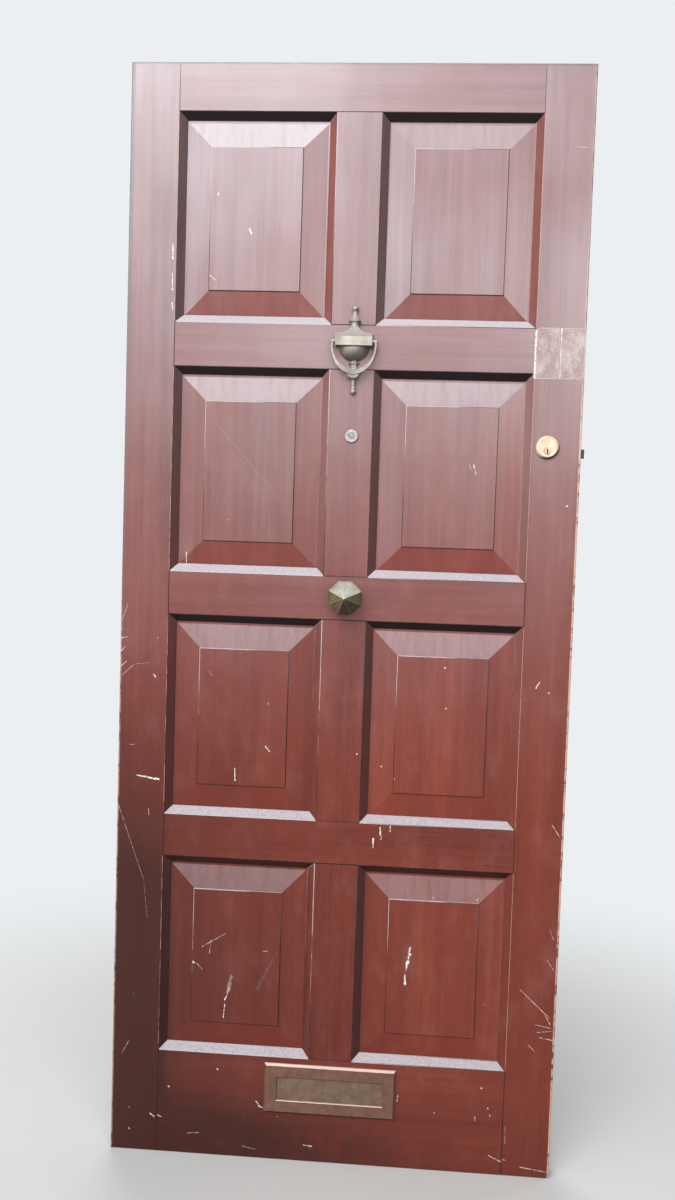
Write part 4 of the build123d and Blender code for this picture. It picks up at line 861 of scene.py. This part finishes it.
def glass_finish(name):
    """Lens glass over the dark tube behind it."""
    glass = Finish(name)
    haze = glass.noise(glass.scaled((300, 300, 300)), 3.0, 0.6)
    colour = glass.mix(haze, rgb(150, 160, 160), rgb(190, 196, 194))
    return glass.finish(colour, haze * 0.1 + 0.04, Transmission_Weight=0.4, IOR=1.5)


latch_enamel = enamel_finish("latch_enamel", rgb(70, 58, 48), rgb(92, 78, 64))
lens_glass = glass_finish("lens_glass")


# %% Dress the fittings
fitting_turn = 28


def dress_fitting(node, material, edge_material, width):
    """Ease a fitting's real edges, rubbed brighter than its faces, and give it its metal."""
    mesh = joined_copy(node)
    made = ease(mesh, sharp_edges(mesh, fitting_turn), width * millimetre)
    crease(mesh)
    piece = dressed(node + "_dressed", mesh, [material, edge_material], node)
    weighted = piece.modifiers.new("flat_faces_stay_flat", "WEIGHTED_NORMAL")
    weighted.keep_sharp = True
    return made


painted = {
    Metal.knocker: ["knocker_pins"], Metal.viewer: ["viewer_sleeve"],
    Metal.cylinder: ["cylinder_body"], Metal.plug: ["cylinder_plug"],
    Metal.bolt_bronze: ["latch_bolt"], Metal.latch_brass: ["latch_cam", "latch_snib"],
    lens_glass: ["viewer_lens", "viewer_eyepiece"],
    Metal.steel: ["knocker_bolts", "knocker_washers", "knob_bolt", "knob_washer", "cylinder_tailpiece",
                  "cylinder_plate", "cylinder_screws", "latch_case_screws", "letter_flap_pin",
                  "letter_plate_bolts", "letter_plate_washers"],
}
for material, names in painted.items():
    for node in names:
        nodes[node].data.materials.clear()
        nodes[node].data.materials.append(material)
print("painted as they came from CAD:", sum(len(names) for names in painted.values()))

for node, material, edge_material, width in (
        ("knocker_body", Metal.knocker, Metal.knocker_edge, 0.5),
        ("knocker_bail", Metal.knocker, Metal.knocker_edge, 0.6),
        ("centre_knob", Metal.knob, Metal.knob_edge, 0.5),
        ("viewer_barrel", Metal.viewer, Metal.viewer, 0.3),
        ("cylinder_ring", Metal.cylinder, Metal.cylinder_edge, 0.3),
        ("letter_plate", Metal.letter, Metal.letter_edge, 0.5),
        ("letter_flap", Metal.flap, Metal.letter_edge, 0.3),
        ("latch_case", latch_enamel, latch_enamel, 0.6),
        ("latch_turn_knob", Metal.latch_brass, Metal.latch_brass, 0.4)):
    print(node, "eased faces:", dress_fitting(node, material, edge_material, width))

# %% [markdown]
# ## The springs
#
# Two springs sit in the mechanisms. On the real door the latch's coil is pressed towards
# its post when the bolt is drawn back, and the flap's coil twists about the pin, one leg
# held by the slot's roof and the other carried round behind the flap. Here both keep
# their shape from CAD: the latch's coil rides on its node's body, and the flap's coil is a
# loose copy with its place baked into its mesh.

# %% Springs
coil = dressed("latch_spring_coil", joined_copy("latch_spring"), [Metal.steel], "latch_spring")
coil_low, coil_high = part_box("latch_spring")
bolt_travel = next(joint for joint in frame["record"]["behaviour"]["joints"]
                   if joint["name"] == "latch_bolt_slide")["range_m"][1]
coil_length = coil_high.x - coil_low.x
(coil_length - bolt_travel) / coil_length
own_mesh(coil)

twisted = stand_in("letter_flap_spring_coil", joined_copy("letter_flap_spring"), [Metal.steel],
                   "letter_flap_spring")
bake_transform(twisted)
print("latch spring is", round(coil_length / millimetre, 1), "mm long and gives", bolt_travel / millimetre)

# %% [markdown]
# ## The stuck-on films
#
# Level with the knocker, two clear films with rounded corners still stick to the lock
# stile, gone milky and edged with old glue. They are sheets of their own, a quarter of
# a millimetre thick, just off the varnish and see-through by a cloudy alpha.

# %% Films
class Film:
    """Sizes in millimetres, and the distances in metres over which glue and border fade."""
    low_z = 1443.6
    high_z = 1531.4
    left = (318.2, 361.2)
    right = (363.2, 405.4)
    corner = 8.0
    thickness = 0.25
    clear = 0.05
    border_fade = (0.0023, 0.0012)
    glue_fade = (0.0058, 0.0036)
    thin = rgb(194, 162, 155)
    milky = rgb(216, 198, 194)
    white = rgb(244, 236, 230)


def film_finish(name, outline, glue_side, shift):
    """Milky film, whiter along its outline, in crossing scratches and where the glue has run."""
    film = Finish(name)
    side = film.axis("X")
    height = film.axis("Z")
    clouds = film.noise(film.scaled((55, 55, 40), shift), 4.0, 0.65)
    hairs = film.noise(film.scaled((210, 210, 60), shift), 3.0, 0.7, 1.5)
    crinkle = film.noise(film.scaled((120, 120, 120), shift), 3.0, 0.6, 2.0)
    near_side = film.math("MINIMUM", side - outline[0] * millimetre, outline[1] * millimetre - side)
    near_level = film.math("MINIMUM", height - Film.low_z * millimetre, Film.high_z * millimetre - height)
    near = film.math("MINIMUM", near_side, near_level)
    border = film.step(near + clouds * 0.0024, *Film.border_fade) * 0.8
    glue = film.step(abs(side - glue_side * millimetre) + crinkle * 0.007, *Film.glue_fade)
    hair = film.step(hairs, 0.62, 0.68) * 0.5
    folds = film.step(abs(crinkle - 0.5), 0.014, 0.004) * 0.6
    white = film.math("MAXIMUM", film.math("MAXIMUM", border, glue), film.math("MAXIMUM", hair, folds))
    colour = film.mix(film.step(clouds, 0.3, 0.7), Film.thin, Film.milky)
    colour = film.mix(white, colour, Film.white)
    alpha = film.math("MAXIMUM", film.step(clouds, 0.25, 0.75, 0.16, 0.55), white * 0.92)
    return film.finish(colour, clouds * 0.2 + 0.25, film.bump(clouds, 0.3 * millimetre), Alpha=alpha)


def film_sheet(name, outline, rounded, glue_side, shift):
    """Thin sheet parallel to the door's face; rounded lists the corners that aren't square."""
    mesh = bmesh.new()
    front_y = -face_half / millimetre - Film.clear
    corners = {(x, z): mesh.verts.new(Vector((x, front_y, z)) * millimetre)
               for x, z in ((outline[0], Film.low_z), (outline[1], Film.low_z),
                            (outline[1], Film.high_z), (outline[0], Film.high_z))}
    mesh.faces.new(list(corners.values()))
    bmesh.ops.bevel(mesh, geom=[corners[place] for place in rounded], offset=Film.corner * millimetre,
                    offset_type="OFFSET", segments=6, profile=0.5, affect="VERTICES", material=-1)
    raised = bmesh.ops.extrude_face_region(mesh, geom=list(mesh.faces))
    moved = [item for item in raised["geom"] if isinstance(item, bmesh.types.BMVert)]
    bmesh.ops.translate(mesh, verts=moved, vec=(0, -Film.thickness * millimetre, 0))
    bmesh.ops.recalc_face_normals(mesh, faces=mesh.faces)
    data = bpy.data.meshes.new(name)
    mesh.to_mesh(data)
    mesh.free()
    data.materials.append(film_finish(name, outline, glue_side, shift))
    piece = bpy.data.objects.new(name, data)
    scene.collection.objects.link(piece)
    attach(piece, "leaf")
    return piece


left_corners = [(Film.left[0], Film.high_z)]
right_corners = [(Film.right[1], Film.high_z), (Film.right[1], Film.low_z)]
for name, outline, rounded, glue_side, shift in (
        ("film_left", Film.left, left_corners, Film.left[0] + 2.0, (3, 0, 5)),
        ("film_right", Film.right, right_corners, Film.right[0], (9, 0, 1))):
    print(film_sheet(name, outline, rounded, glue_side, shift).name, "at", outline)

# %% The floor's paint
floor_paint = Finish("floor_paint")
floor_cloud = floor_paint.noise(floor_paint.scaled((1.5, 1.5, 1.5)), 3.0, 0.5)
floor_colour = floor_paint.mix(floor_cloud, rgb(212, 212, 208), rgb(222, 222, 220))
floor.data.materials.append(floor_paint.finish(floor_colour, 0.85))

# Away from the door the floor turns into the backdrop, for the rays that see the backdrop
backdrop_rays = [floor_paint.node("ShaderNodeLightPath", kind)
                 for kind in ("Is Camera Ray", "Is Glossy Ray", "Is Transmission Ray")]
passed = floor_paint.math("MAXIMUM", floor_paint.math("MAXIMUM", *backdrop_rays[:2]), backdrop_rays[2])
from_door = floor_paint.vector("LENGTH", floor_paint.place, output="Value")
lit_floor = Value(floor_paint, floor_paint.shader.outputs["BSDF"])
far_glow = floor_paint.node("ShaderNodeEmission", inputs={"Color": Backdrop.world_pale})
floor_mix = floor_paint.node("ShaderNodeMixShader", inputs={
    0: floor_paint.step(from_door, 0.45, 1.9) * passed, 1: lit_floor, 2: far_glow})
floor_paint.feed(floor_paint.out.inputs["Surface"], floor_mix)
print("floor nodes:", len(floor_paint.tree.nodes))
